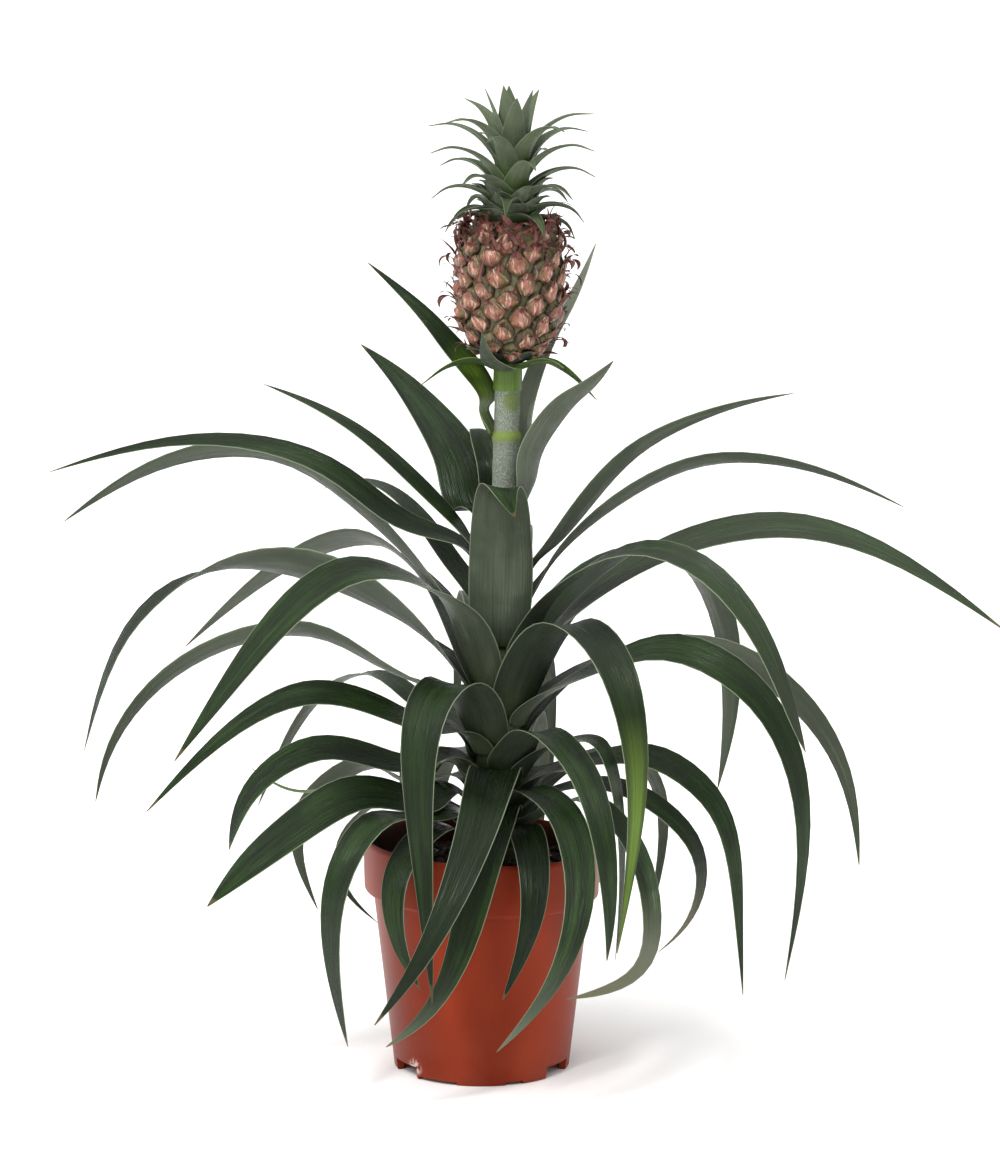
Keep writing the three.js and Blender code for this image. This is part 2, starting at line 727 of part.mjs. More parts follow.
/** True where two axis-aligned boxes meet. */
function boxesMeet(a, b) {
  return [0, 1, 2].every((axis) => a.min[axis] <= b.max[axis] && b.min[axis] <= a.max[axis]);
}

/** The stations of all leaves, every leaf bent clear of the older ones. */
function clearedLeaves() {
  const placed = [];
  for (const leaf of seatedLeaves()) {
    const stations = leafStations(leaf);
    for (let attempt = 0; attempt < BEND.tries; attempt += 1) {
      const airy = leafSolid(stations, GAP);
      const box = airy.boundingBox();
      const crossed = placed.filter((older) => boxesMeet(box, older.box));
      const spots = crossed
        .map((older) => ({ older, shared: airy.intersect(older.solid) }))
        .filter(({ shared }) => !shared.isEmpty());
      if (spots.length === 0) break;
      for (const { older, shared } of spots) {
        const { min, max } = shared.boundingBox();
        const spot = new THREE.Vector3(...min).lerp(new THREE.Vector3(...max), 0.5);
        bendAway(stations, older.stations, spot);
      }
    }
    const solid = leafSolid(stations);
    placed.push({ stations, solid, box: solid.boundingBox() });
  }
  return placed.map(({ stations }) => stations);
}

// ---------------------------------------------------------------- the plant
function material(colour, roughness) {
  return new THREE.MeshStandardMaterial({ color: colour, roughness, metalness: 0 });
}

function piece(name, geometry, finish) {
  const mesh = new THREE.Mesh(geometry, finish);
  mesh.name = name;
  return mesh;
}

const whole = new THREE.Group();
whole.position.set(-OUTLINE_MIDDLE.x, -OUTLINE_MIDDLE.y, 0);
whole.add(piece('pot', potGeometry(), material(COLOURS.pot, 0.55)));
whole.add(piece('soil', soilGeometry(), material(COLOURS.soil, 0.95)));

const plant = new THREE.Group();
plant.applyMatrix4(plantMatrix());
whole.add(plant);
plant.add(piece('stem', stemGeometry(), material(COLOURS.stem, 0.8)));
plant.add(piece('fruit_stalk', stalkGeometry(), material(COLOURS.stalk, 0.75)));

const fruit = piece('fruit', fruitGeometry(), material(COLOURS.fruit, 0.6));
fruit.position.z = FRUIT.bottom;
plant.add(fruit);

const crown = piece('crown', crownGeometry(), material(COLOURS.crown, 0.6));
crown.position.z = FRUIT.bottom + FRUIT.height + GAP + CROWN.rise;
plant.add(crown);

const leafMaterial = material(COLOURS.leaf, 0.45);
clearedLeaves().forEach((stations, i) => {
  const name = `leaf_${String(i + 1).padStart(2, '0')}`;
  plant.add(piece(name, skin(stations.map(bladeRing)), leafMaterial.clone()));
});

export default whole;
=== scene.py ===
"""A potted pineapple plant: its visible pieces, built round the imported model.

Blender works in metres with +Z up. Shapes are worked out in millimetres and put to scale when a
piece is finished.
"""

import logging
import math
import random
from dataclasses import dataclass, field
from enum import Enum
from typing import Callable, Sequence

import bmesh
import bpy
from bmesh.types import BMesh, BMVert
from bpy.types import ID, Material, Mesh, Node, NodeSocket, NodeTree, Object
from mathutils import Matrix, Vector, noise


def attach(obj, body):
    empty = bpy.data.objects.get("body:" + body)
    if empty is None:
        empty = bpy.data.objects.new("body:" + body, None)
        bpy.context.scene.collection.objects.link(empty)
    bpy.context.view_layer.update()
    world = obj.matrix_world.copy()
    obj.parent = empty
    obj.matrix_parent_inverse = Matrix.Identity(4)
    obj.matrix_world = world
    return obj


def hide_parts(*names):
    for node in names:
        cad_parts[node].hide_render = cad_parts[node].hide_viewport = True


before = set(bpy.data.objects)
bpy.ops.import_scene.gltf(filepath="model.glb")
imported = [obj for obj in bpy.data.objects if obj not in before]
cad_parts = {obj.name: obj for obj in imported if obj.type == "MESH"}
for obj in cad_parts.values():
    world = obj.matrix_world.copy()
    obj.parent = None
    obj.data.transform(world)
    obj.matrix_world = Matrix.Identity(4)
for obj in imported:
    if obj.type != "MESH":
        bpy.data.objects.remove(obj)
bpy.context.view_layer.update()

LOG = logging.getLogger("pineapple")
MM = 0.001
GOLDEN_ANGLE = math.radians(137.508)
POT_AXIS = Vector((-15.8, -0.3, 0.0))
SOIL_LEVEL = 79.0
STEM_SHIFT = 6.0
STEM_LEAN = math.radians(1.2)

Point = tuple[float, float]
Span = tuple[float, float]
Place = tuple[float, float, float]
Colour = tuple[float, float, float, float]
Feed = NodeSocket | float | Colour | Place | Vector


class Slot(Enum):
    """The record's material slots."""

    POT = "pot"
    SOIL = "soil"
    STEM = "stem"
    STALK = "stalk"
    FRUIT = "fruit"
    CROWN = "crown"
    LEAF = "leaf"


# ---------------------------------------------------------------- small sums
def lerp(low: float, high: float, share: float) -> float:
    """Value at a share of the way from low to high."""
    return low + (high - low) * share


def smoothstep(value: float, low: float, high: float) -> float:
    """Eased share of a value between two limits, from 0 to 1."""
    share = min(max((value - low) / (high - low), 0.0), 1.0)
    return share * share * (3.0 - 2.0 * share)


def srgb(red: int, green: int, blue: int) -> Colour:
    """Turns a screen colour into the linear colour that shaders use.

    Args:
        red: Red from 0 to 255.
        green: Green from 0 to 255.
        blue: Blue from 0 to 255.

    Returns:
        The linear colour with full alpha.
    """
    parts = [part / 255.0 for part in (red, green, blue)]
    linear = [part / 12.92 if part <= 0.04045 else ((part + 0.055) / 1.055) ** 2.4 for part in parts]
    return (linear[0], linear[1], linear[2], 1.0)


def spline(points: Sequence[Vector], share: float) -> Vector:
    """Finds a point on a smooth curve through given points.

    Args:
        points: The points that the curve passes, at even steps.
        share: Place on the curve from 0 to 1.

    Returns:
        The point on the curve.
    """
    spans = len(points) - 1
    place = min(max(share, 0.0), 1.0) * spans
    span = min(int(place), spans - 1)
    t = place - span
    start, end = points[span], points[span + 1]
    before = points[span - 1] if span > 0 else 2.0 * start - end
    after = points[span + 2] if span + 2 <= spans else 2.0 * end - start
    return 0.5 * (
        2.0 * start
        + (end - before) * t
        + (2.0 * before - 5.0 * start + 4.0 * end - after) * t * t
        + (3.0 * start - before - 3.0 * end + after) * t * t * t
    )


def plant_matrix() -> Matrix:
    """Places plant heights above the pot's foot, leaning a little to the right.

    Returns:
        The matrix from the plant's own millimetres to those of the frame.
    """
    at_soil = Matrix.Translation(POT_AXIS + Vector((STEM_SHIFT, 0.0, SOIL_LEVEL)))
    lean = Matrix.Rotation(STEM_LEAN, 4, "Y")
    return at_soil @ lean @ Matrix.Translation((0.0, 0.0, -SOIL_LEVEL))


# ---------------------------------------------------------------- node sheets
class NodeSheet:
    """Adds nodes to a material or node group and wires them in one call."""

    def __init__(self, tree: NodeTree) -> None:
        """Keeps the tree that nodes are added to."""
        self.tree = tree

    def feed(self, socket: NodeSocket, value: Feed) -> None:
        """Wires a socket to a socket, or sets its value.

        Args:
            socket: The input.
            value: An output to wire, or a number or colour.
        """
        if isinstance(value, NodeSocket):
            self.tree.links.new(value, socket)
        else:
            socket.default_value = value

    def add(self, kind: str, feeds: dict[str | int, Feed] | None = None, **settings: object) -> Node:
        """Adds one node.

        Args:
            kind: The node's type without its ShaderNode prefix.
            feeds: What goes into its inputs, by name or index.
            **settings: The node's own settings.

        Returns:
            The node.
        """
        node = self.tree.nodes.new("ShaderNode" + kind)
        for setting, value in settings.items():
            setattr(node, setting, value)
        for key, value in (feeds or {}).items():
            self.feed(node.inputs[key], value)
        return node

    def math(self, operation: str, first: Feed, second: Feed = 0.0) -> NodeSocket:
        """Adds a Math node and gives its result."""
        return self.add("Math", {0: first, 1: second}, operation=operation).outputs[0]

    def times(self, first: Feed, second: Feed) -> NodeSocket:
        """Multiplies two numbers."""
        return self.math("MULTIPLY", first, second)

    def plus(self, first: Feed, second: Feed) -> NodeSocket:
        """Adds two numbers."""
        return self.math("ADD", first, second)

    def minus(self, first: Feed, second: Feed) -> NodeSocket:
        """Takes the second number from the first."""
        return self.math("SUBTRACT", first, second)

    def off_middle(self, share: Feed) -> NodeSocket:
        """Gives how far a share from 0 to 1 lies from its middle."""
        return self.math("ABSOLUTE", self.minus(share, 0.5))

    def blend(self, factor: Feed, first: Feed, second: Feed) -> NodeSocket:
        """Adds a colour Mix node and gives its result."""
        return self.add("Mix", {0: factor, 6: first, 7: second}, data_type="RGBA").outputs[2]

    def span(
        self, value: Feed, low: float, high: float, to_low: float = 0.0, to_high: float = 1.0
    ) -> NodeSocket:
        """Adds an eased Map Range node and gives its result.

        Args:
            value: The number to map.
            low: Where the range starts.
            high: Where the range ends.
            to_low: Result at the start.
            to_high: Result at the end.

        Returns:
            The mapped number.
        """
        feeds = {0: value, 1: low, 2: high, 3: to_low, 4: to_high}
        return self.add("MapRange", feeds, interpolation_type="SMOOTHSTEP").outputs[0]

    def vector(self, x: Feed, y: Feed, z: Feed = 0.0) -> NodeSocket:
        """Adds a Combine XYZ node and gives its vector."""
        return self.add("CombineXYZ", {0: x, 1: y, 2: z}).outputs[0]

    def stretch(self, place: Feed, x: float, y: float, z: float) -> NodeSocket:
        """Adds a Mapping node that scales a place, and gives the place."""
        return self.add("Mapping", {0: place, 3: Vector((x, y, z))}).outputs[0]

    def distance(self, place: Feed, other: Feed) -> NodeSocket:
        """Gives the distance between two places."""
        return self.add("VectorMath", {0: place, 1: other}, operation="DISTANCE").outputs["Value"]

    def noise(self, place: Feed, scale: float, detail: float = 3.0) -> NodeSocket:
        """Adds a Noise node and gives its value."""
        feeds = {"Vector": place, "Scale": scale, "Detail": detail, "Roughness": 0.55}
        return self.add("TexNoise", feeds).outputs[0]

    def drawn_noise(
        self, across: Feed, along: Feed, far: Feed, by: Span, detail: float = 3.0
    ) -> NodeSocket:
        """Adds noise on a blade's own map, with its scale across and along, and gives its value."""
        place = self.vector(self.times(across, by[0]), self.times(along, by[1]), far)
        return self.noise(place, 1.0, detail)

    def bump(self, height: Feed, strength: float, distance: float) -> NodeSocket:
        """Adds a Bump node and gives its normal."""
        return self.add("Bump", {"Strength": strength, "Distance": distance, "Height": height}).outputs[0]

    def place(self, group: NodeTree, **feeds: Feed) -> Node:
        """Places a node group with its own values.

        Args:
            group: The group.
            **feeds: Values or sockets for its inputs.

        Returns:
            The group node.
        """
        node = self.tree.nodes.new("ShaderNodeGroup")
        node.node_tree = group
        for key, value in feeds.items():
            self.feed(node.inputs[key], value)
        return node


def new_group(
    name: str, inputs: Sequence[str], outputs: Sequence[str]
) -> tuple[NodeTree, NodeSheet, Node, Node]:
    """Starts a node group of numbers.

    Args:
        name: Name of the group.
        inputs: Names of its inputs.
        outputs: Names of its outputs.

    Returns:
        The group, its sheet, and its input and output nodes.
    """
    group = bpy.data.node_groups.new(name, "ShaderNodeTree")
    for label in inputs:
        group.interface.new_socket(label, in_out="INPUT", socket_type="NodeSocketFloat")
    for label in outputs:
        group.interface.new_socket(label, in_out="OUTPUT", socket_type="NodeSocketFloat")
    return group, NodeSheet(group), group.nodes.new("NodeGroupInput"), group.nodes.new("NodeGroupOutput")


@dataclass(frozen=True)
class LeafVeins:
    """Lengthwise veins, broad bands and the margin of a blade, from its own map."""

    fine: Span = (84.0, 2.2)
    broad: Span = (4.2, 1.6)
    cloudy: Span = (1.3, 5.0)
    margin: Span = (0.482, 0.495)

    def make(self) -> NodeTree:
        """Builds the group once.

        Returns:
            The group with inputs Across, Along and Seed and outputs Streak, Band, Margin and Cloud.
        """
        if "leaf_veins" in bpy.data.node_groups:
            return bpy.data.node_groups["leaf_veins"]
        group, sheet, given, result = new_group(
            "leaf_veins", ("Across", "Along", "Seed"), ("Streak", "Band", "Margin", "Cloud")
        )
        across, along, seed = given.outputs[0], given.outputs[1], given.outputs[2]
        far = sheet.times(seed, 37.0)
        streak = sheet.span(sheet.drawn_noise(across, along, far, self.fine, 2.0), 0.33, 0.68)
        band = sheet.span(sheet.drawn_noise(across, along, far, self.broad), 0.3, 0.72)
        margin = sheet.span(sheet.off_middle(across), *self.margin)
        cloud = sheet.span(sheet.drawn_noise(across, along, far, self.cloudy), 0.38, 0.62)
        for socket, value in zip(result.inputs, (streak, band, margin, cloud)):
            sheet.feed(socket, value)
        return group


@dataclass(frozen=True)
class Mottle:
    """Cloudy patches with fine grains in them, such as dust, scurf or stain."""

    def make(self) -> NodeTree:
        """Builds the group once.

        Returns:
            The group with inputs Patch, Grain and Amount and outputs Patches and Grains.
        """
        if "mottle" in bpy.data.node_groups:
            return bpy.data.node_groups["mottle"]
        group, sheet, given, result = new_group(
            "mottle", ("Patch", "Grain", "Amount"), ("Patches", "Grains")
        )
        patch, grain, amount = given.outputs[0], given.outputs[1], given.outputs[2]
        place = sheet.add("TexCoord").outputs["Object"]
        clouds = sheet.add("TexNoise", {"Vector": place, "Scale": patch, "Detail": 4.0}).outputs[0]
        grains = sheet.add("TexNoise", {"Vector": place, "Scale": grain, "Detail": 2.0}).outputs[0]
        edge = sheet.minus(1.0, amount)
        patches = sheet.span(sheet.minus(clouds, sheet.times(edge, 0.6)), 0.0, 0.3)
        speck = sheet.span(grains, 0.45, 0.62)
        sheet.feed(result.inputs[0], patches)
        sheet.feed(result.inputs[1], speck)
        return group


# ---------------------------------------------------------------- finishes
def new_material(name: str, **fixed: Feed) -> tuple[Material, NodeSheet, Node]:
    """Starts a material on a Principled shader.

    Args:
        name: Name of the material.
        **fixed: Constant values for the shader's sockets, with _ for a space.

    Returns:
        The material, its sheet and its shader.
    """
    material = bpy.data.materials.new(name)
    material.use_nodes = True
    shader = material.node_tree.nodes["Principled BSDF"]
    for key, value in fixed.items():
        shader.inputs[key.replace("_", " ")].default_value = value
    return material, NodeSheet(material.node_tree), shader


@dataclass(frozen=True)
class BladeFinish:
    """Leaf skin with a dark upper side, a bloomy underside, veins and a pale margin."""

    name: str
    upper_deep: Colour
    upper_light: Colour
    under_deep: Colour
    under_light: Colour
    base: Colour
    margin: Colour
    lime: Colour = srgb(104, 134, 40)
    dry: Colour = srgb(112, 96, 66)
    bloom: Colour = srgb(140, 147, 130)
    margin_share: float = 0.6
    base_reach: float = 0.1
    base_share: float = 0.5
    relief: float = 0.00025

    def skin(self, sheet: NodeSheet, veins: Node, under: Feed) -> NodeSocket:
        """Colours both sides of the blade along its veins.

        Args:
            sheet: The material's sheet.
            veins: The placed vein group.
            under: Mask of the underside.

        Returns:
            The colour.
        """
        streak, band = veins.outputs["Streak"], veins.outputs["Band"]
        mixed = sheet.plus(sheet.times(streak, 0.45), sheet.times(band, 0.55))
        mixed = sheet.times(mixed, sheet.span(veins.outputs["Cloud"], 0.0, 1.0, 0.45, 1.2))
        upper = sheet.blend(mixed, self.upper_deep, self.upper_light)
        lower = sheet.blend(mixed, self.under_deep, self.under_light)
        return sheet.blend(under, upper, lower)

    def make(self) -> Material:
        """Builds the material.

        Returns:
            The material, which reads the blade map and the leaf attribute.
        """
        material, sheet, shader = new_material(
            self.name, Specular_IOR_Level=0.25, Specular_Tint=(0.76, 0.86, 0.72, 1.0)
        )
        place = sheet.add("SeparateXYZ", {0: sheet.add("UVMap", uv_map="blade").outputs[0]})
        along, raw = place.outputs[0], place.outputs[1]
        under = sheet.math("GREATER_THAN", raw, 1.5)
        across = sheet.minus(raw, sheet.times(under, 2.0))
        leaf = sheet.add("Attribute", attribute_name="leaf")
        tone = sheet.add("SeparateColor", {0: leaf.outputs["Color"]})
        seed, bloom_and_shade, lime = tone.outputs[0], tone.outputs[1], tone.outputs[2]
        dry = leaf.outputs["Alpha"]
        veins = sheet.place(LeafVeins().make(), Across=across, Along=along, Seed=seed)
        colour = self.skin(sheet, veins, under)
        colour = sheet.blend(sheet.span(bloom_and_shade, 0.0, 1.0, 0.0, 0.8), colour, self.bloom)
        # Below 0 the second number of the leaf mark darkens the colour towards the deep upper green:
        # painted shade.
        colour = sheet.blend(sheet.span(bloom_and_shade, 0.0, -1.0, 0.0, 0.7), colour, self.upper_deep)
        off_middle = sheet.off_middle(across)
        stripe = sheet.times(sheet.span(off_middle, 0.18, 0.48, 1.0, 0.3), lime)
        sunny = sheet.times(sheet.span(veins.outputs["Streak"], 0.0, 1.0, 0.6, 1.0), stripe)
        colour = sheet.blend(sunny, colour, self.lime)
        root = sheet.span(along, 0.0, self.base_reach, self.base_share, 0.0)
        colour = sheet.blend(root, colour, self.base)
        withered = sheet.plus(sheet.span(along, 0.98, 1.0, 0.0, 0.5), dry)
        colour = sheet.blend(sheet.math("MINIMUM", withered, 1.0), colour, self.dry)
        rim = sheet.times(veins.outputs["Margin"], self.margin_share)
        colour = sheet.blend(rim, colour, self.margin)
        sheet.feed(shader.inputs["Base Color"], colour)
        gloss = sheet.span(veins.outputs["Streak"], 0.0, 1.0, 0.18, 0.38)
        gloss = sheet.plus(gloss, sheet.span(veins.outputs["Cloud"], 0.0, 1.0, 0.08, -0.04))
        rough = sheet.plus(gloss, sheet.times(under, 0.14))
        sheet.feed(shader.inputs["Roughness"], rough)
        height = sheet.plus(veins.outputs["Streak"], sheet.times(veins.outputs["Band"], 1.5))
        sheet.feed(shader.inputs["Normal"], sheet.bump(height, 0.55, self.relief))
        return material


ROSETTE_FINISH = BladeFinish(
    name="rosette_leaf",
    upper_deep=srgb(11, 19, 8),
    upper_light=srgb(36, 58, 21),
    under_deep=srgb(56, 63, 50),
    under_light=srgb(82, 90, 75),
    base=srgb(84, 96, 62),
    margin=srgb(138, 148, 122),
)

CROWN_FINISH = BladeFinish(
    name="crown_leaf",
    upper_deep=srgb(34, 44, 26),
    upper_light=srgb(76, 86, 60),
    under_deep=srgb(66, 74, 60),
    under_light=srgb(108, 115, 98),
    base=srgb(78, 106, 38),
    margin=srgb(132, 142, 120),
    bloom=srgb(96, 106, 84),
    margin_share=0.35,
    base_reach=0.35,
    base_share=0.75,
)

BRACT_FINISH = BladeFinish(
    name="stalk_bract",
    upper_deep=srgb(46, 64, 26),
    upper_light=srgb(98, 130, 40),
    under_deep=srgb(48, 66, 30),
    under_light=srgb(80, 104, 46),
    base=srgb(98, 128, 40),
    margin=srgb(140, 156, 92),
    margin_share=0.4,
)


@dataclass(frozen=True)
class TerracottaPlastic:
    """Satin injection-moulded plastic in terracotta, mottled deeper red in soft patches that are partly
    painted shade, dusty low down and lightly scuffed.
    """

    deep: Colour = srgb(103, 30, 15)
    warm: Colour = srgb(134, 45, 24)
    dust: Colour = srgb(150, 92, 70)
    # soiled is the near-black put on the inner wall above the soil.
    soiled: Colour = srgb(26, 18, 14)
    scuffed: Colour = srgb(206, 190, 178)
    scuff_at: Place = (-0.0405, -0.0226, 0.0045)
    inner_wall: Span = (0.0424, 0.0434)
    dark_above: Span = (0.072, 0.074)

    def make(self) -> Material:
        """Builds the material.

        Returns:
            The material.
        """
        material, sheet, shader = new_material(
            "terracotta_plastic", Specular_IOR_Level=0.35, Specular_Tint=(0.75, 0.3, 0.18, 1.0)
        )
        place = sheet.add("TexCoord").outputs["Object"]
        height = sheet.add("SeparateXYZ", {0: place}).outputs[2]
        stain = sheet.place(Mottle().make(), Patch=38.0, Grain=900.0, Amount=0.55)
        # Large soft patches of the deeper red: partly the plastic's own tone, partly painted shade.
        flow_and_shade = sheet.noise(sheet.stretch(place, 1.0, 1.0, 0.5), 26.0, 2.0)
        colour = sheet.blend(sheet.span(flow_and_shade, 0.3, 0.7), self.deep, self.warm)
        low = sheet.span(height, 0.0, 0.03, 0.12, 0.02)
        dusty = sheet.times(stain.outputs["Patches"], low)
        colour = sheet.blend(dusty, colour, self.dust)
        away = sheet.distance(place, self.scuff_at)
        speck = sheet.noise(place, 700.0, 3.0)
        scuff = sheet.times(sheet.span(away, 0.001, 0.0045, 1.0, 0.0), sheet.span(speck, 0.42, 0.55))
        colour = sheet.blend(scuff, colour, self.scuffed)
        # Darkens the inner wall above the soil to near-black, flecked by the fine noise.
        middle = (POT_AXIS.x * MM, POT_AXIS.y * MM, 0.0)
        level = sheet.add("VectorMath", {0: place, 1: (1.0, 1.0, 0.0)}, operation="MULTIPLY").outputs[0]
        radius = sheet.distance(level, middle)
        within = sheet.span(radius, *self.inner_wall, 1.0, 0.0)
        inside = sheet.times(within, sheet.span(height, *self.dark_above))
        dark_inside = sheet.times(inside, sheet.span(speck, 0.2, 0.6, 0.7, 1.0))
        colour = sheet.blend(dark_inside, colour, self.soiled)
        sheet.feed(shader.inputs["Base Color"], colour)
        rough = sheet.plus(sheet.span(flow_and_shade, 0.2, 0.8, 0.36, 0.46), sheet.times(dusty, 0.5))
        sheet.feed(shader.inputs["Roughness"], rough)
        grain = sheet.plus(sheet.times(stain.outputs["Grains"], 0.25), flow_and_shade)
        sheet.feed(shader.inputs["Normal"], sheet.bump(grain, 0.25, 0.0002))
        return material


@dataclass(frozen=True)
class PottingSoil:
    """Dark damp peat with browner crumbs."""

    wet: Colour = srgb(22, 17, 13)
    brown: Colour = srgb(58, 42, 30)

    def make(self) -> Material:
        """Builds the material.

        Returns:
            The material.
        """
        material, sheet, shader = new_material("potting_soil", Specular_IOR_Level=0.3)
        grit = sheet.place(Mottle().make(), Patch=420.0, Grain=1500.0, Amount=0.5)
        colour = sheet.blend(grit.outputs["Patches"], self.wet, self.brown)
        sheet.feed(shader.inputs["Base Color"], colour)
        sheet.feed(shader.inputs["Roughness"], sheet.span(grit.outputs["Grains"], 0.0, 1.0, 0.7, 0.95))
        height = sheet.plus(grit.outputs["Patches"], grit.outputs["Grains"])
        sheet.feed(shader.inputs["Normal"], sheet.bump(height, 0.8, 0.0006))
        return material


@dataclass(frozen=True)
class Perlite:
    """White foamy grains with soil in their pores."""

    white: Colour = srgb(206, 202, 192)
    soiled: Colour = srgb(120, 108, 94)

    def make(self) -> Material:
        """Builds the material.

        Returns:
            The material.
        """
        material, sheet, shader = new_material("perlite", Roughness=0.8)
        pores = sheet.place(Mottle().make(), Patch=900.0, Grain=2400.0, Amount=0.45)
        colour = sheet.blend(pores.outputs["Patches"], self.white, self.soiled)
        sheet.feed(shader.inputs["Base Color"], colour)
        sheet.feed(shader.inputs["Normal"], sheet.bump(pores.outputs["Grains"], 0.5, 0.0003))
        return material


@dataclass(frozen=True)
class StemSkin:
    """Leafy stem: pale green between darker scars of old sheaths."""

    scar: Colour = srgb(44, 54, 32)
    pale: Colour = srgb(76, 88, 56)
    dry: Colour = srgb(70, 62, 42)

    def make(self) -> Material:
        """Builds the material.

        Returns:
            The material.
        """
        material, sheet, shader = new_material("stem_skin", Specular_IOR_Level=0.35)
        place = sheet.add("TexCoord").outputs["Object"]
        rings = sheet.noise(sheet.stretch(place, 0.2, 0.2, 1.0), 420.0, 2.0)
        fleck = sheet.place(Mottle().make(), Patch=160.0, Grain=1100.0, Amount=0.5)
        colour = sheet.blend(sheet.span(rings, 0.35, 0.65), self.scar, self.pale)
        colour = sheet.blend(sheet.times(fleck.outputs["Patches"], 0.4), colour, self.dry)
        sheet.feed(shader.inputs["Base Color"], colour)
        sheet.feed(shader.inputs["Roughness"], sheet.span(rings, 0.3, 0.7, 0.5, 0.7))
        sheet.feed(shader.inputs["Normal"], sheet.bump(rings, 0.5, 0.0004))
        return material


@dataclass(frozen=True)
class StalkSkin:
    """Fruit stalk: bright sheath under the fruit, grey scurf below, a yellow-green node ring."""

    fresh: Colour = srgb(68, 92, 26)
    fresh_light: Colour = srgb(84, 112, 38)
    green: Colour = srgb(78, 88, 68)
    scurf: Colour = srgb(150, 156, 146)
    ring: Colour = srgb(106, 126, 44)
    worn: Colour = srgb(86, 104, 40)
    worn_at: Place = (-0.0035, -0.005, 0.2565)
    ring_from: Span = (0.2405, 0.2422)
    ring_to: Span = (0.2445, 0.2458)
    sheath_from: Span = (0.2600, 0.2606)

    def make(self) -> Material:
        """Builds the material.

        Returns:
            The material, which follows the height above the foot.
        """
        material, sheet, shader = new_material("stalk_skin", Specular_IOR_Level=0.35)
        place = sheet.add("TexCoord").outputs["Object"]
        height = sheet.add("SeparateXYZ", {0: place}).outputs[2]
        scurf = sheet.place(Mottle().make(), Patch=260.0, Grain=2600.0, Amount=0.6)
        scurfy = sheet.span(scurf.outputs["Grains"], 0.0, 1.0, 0.2, 0.85)
        colour = sheet.blend(scurfy, self.green, self.scurf)
        away = sheet.distance(place, self.worn_at)
        colour = sheet.blend(sheet.span(away, 0.0025, 0.0055, 0.8, 0.0), colour, self.worn)
        node = sheet.minus(sheet.span(height, *self.ring_from), sheet.span(height, *self.ring_to))
        colour = sheet.blend(sheet.times(node, 0.85), colour, self.ring)
        lines = sheet.noise(sheet.stretch(place, 1.0, 1.0, 0.06), 900.0, 2.0)
        sheath = sheet.span(height, *self.sheath_from)
        fresh = sheet.blend(sheet.span(lines, 0.35, 0.7), self.fresh, self.fresh_light)
        colour = sheet.blend(sheath, colour, fresh)
        sheet.feed(shader.inputs["Base Color"], colour)
        rough = sheet.minus(0.72, sheet.times(sheath, 0.3))
        sheet.feed(shader.inputs["Roughness"], sheet.plus(rough, sheet.times(lines, 0.05)))
        grain = sheet.times(scurf.outputs["Grains"], sheet.minus(1.0, sheath))
        sheet.feed(shader.inputs["Normal"], sheet.bump(grain, 0.5, 0.00025))
        return material


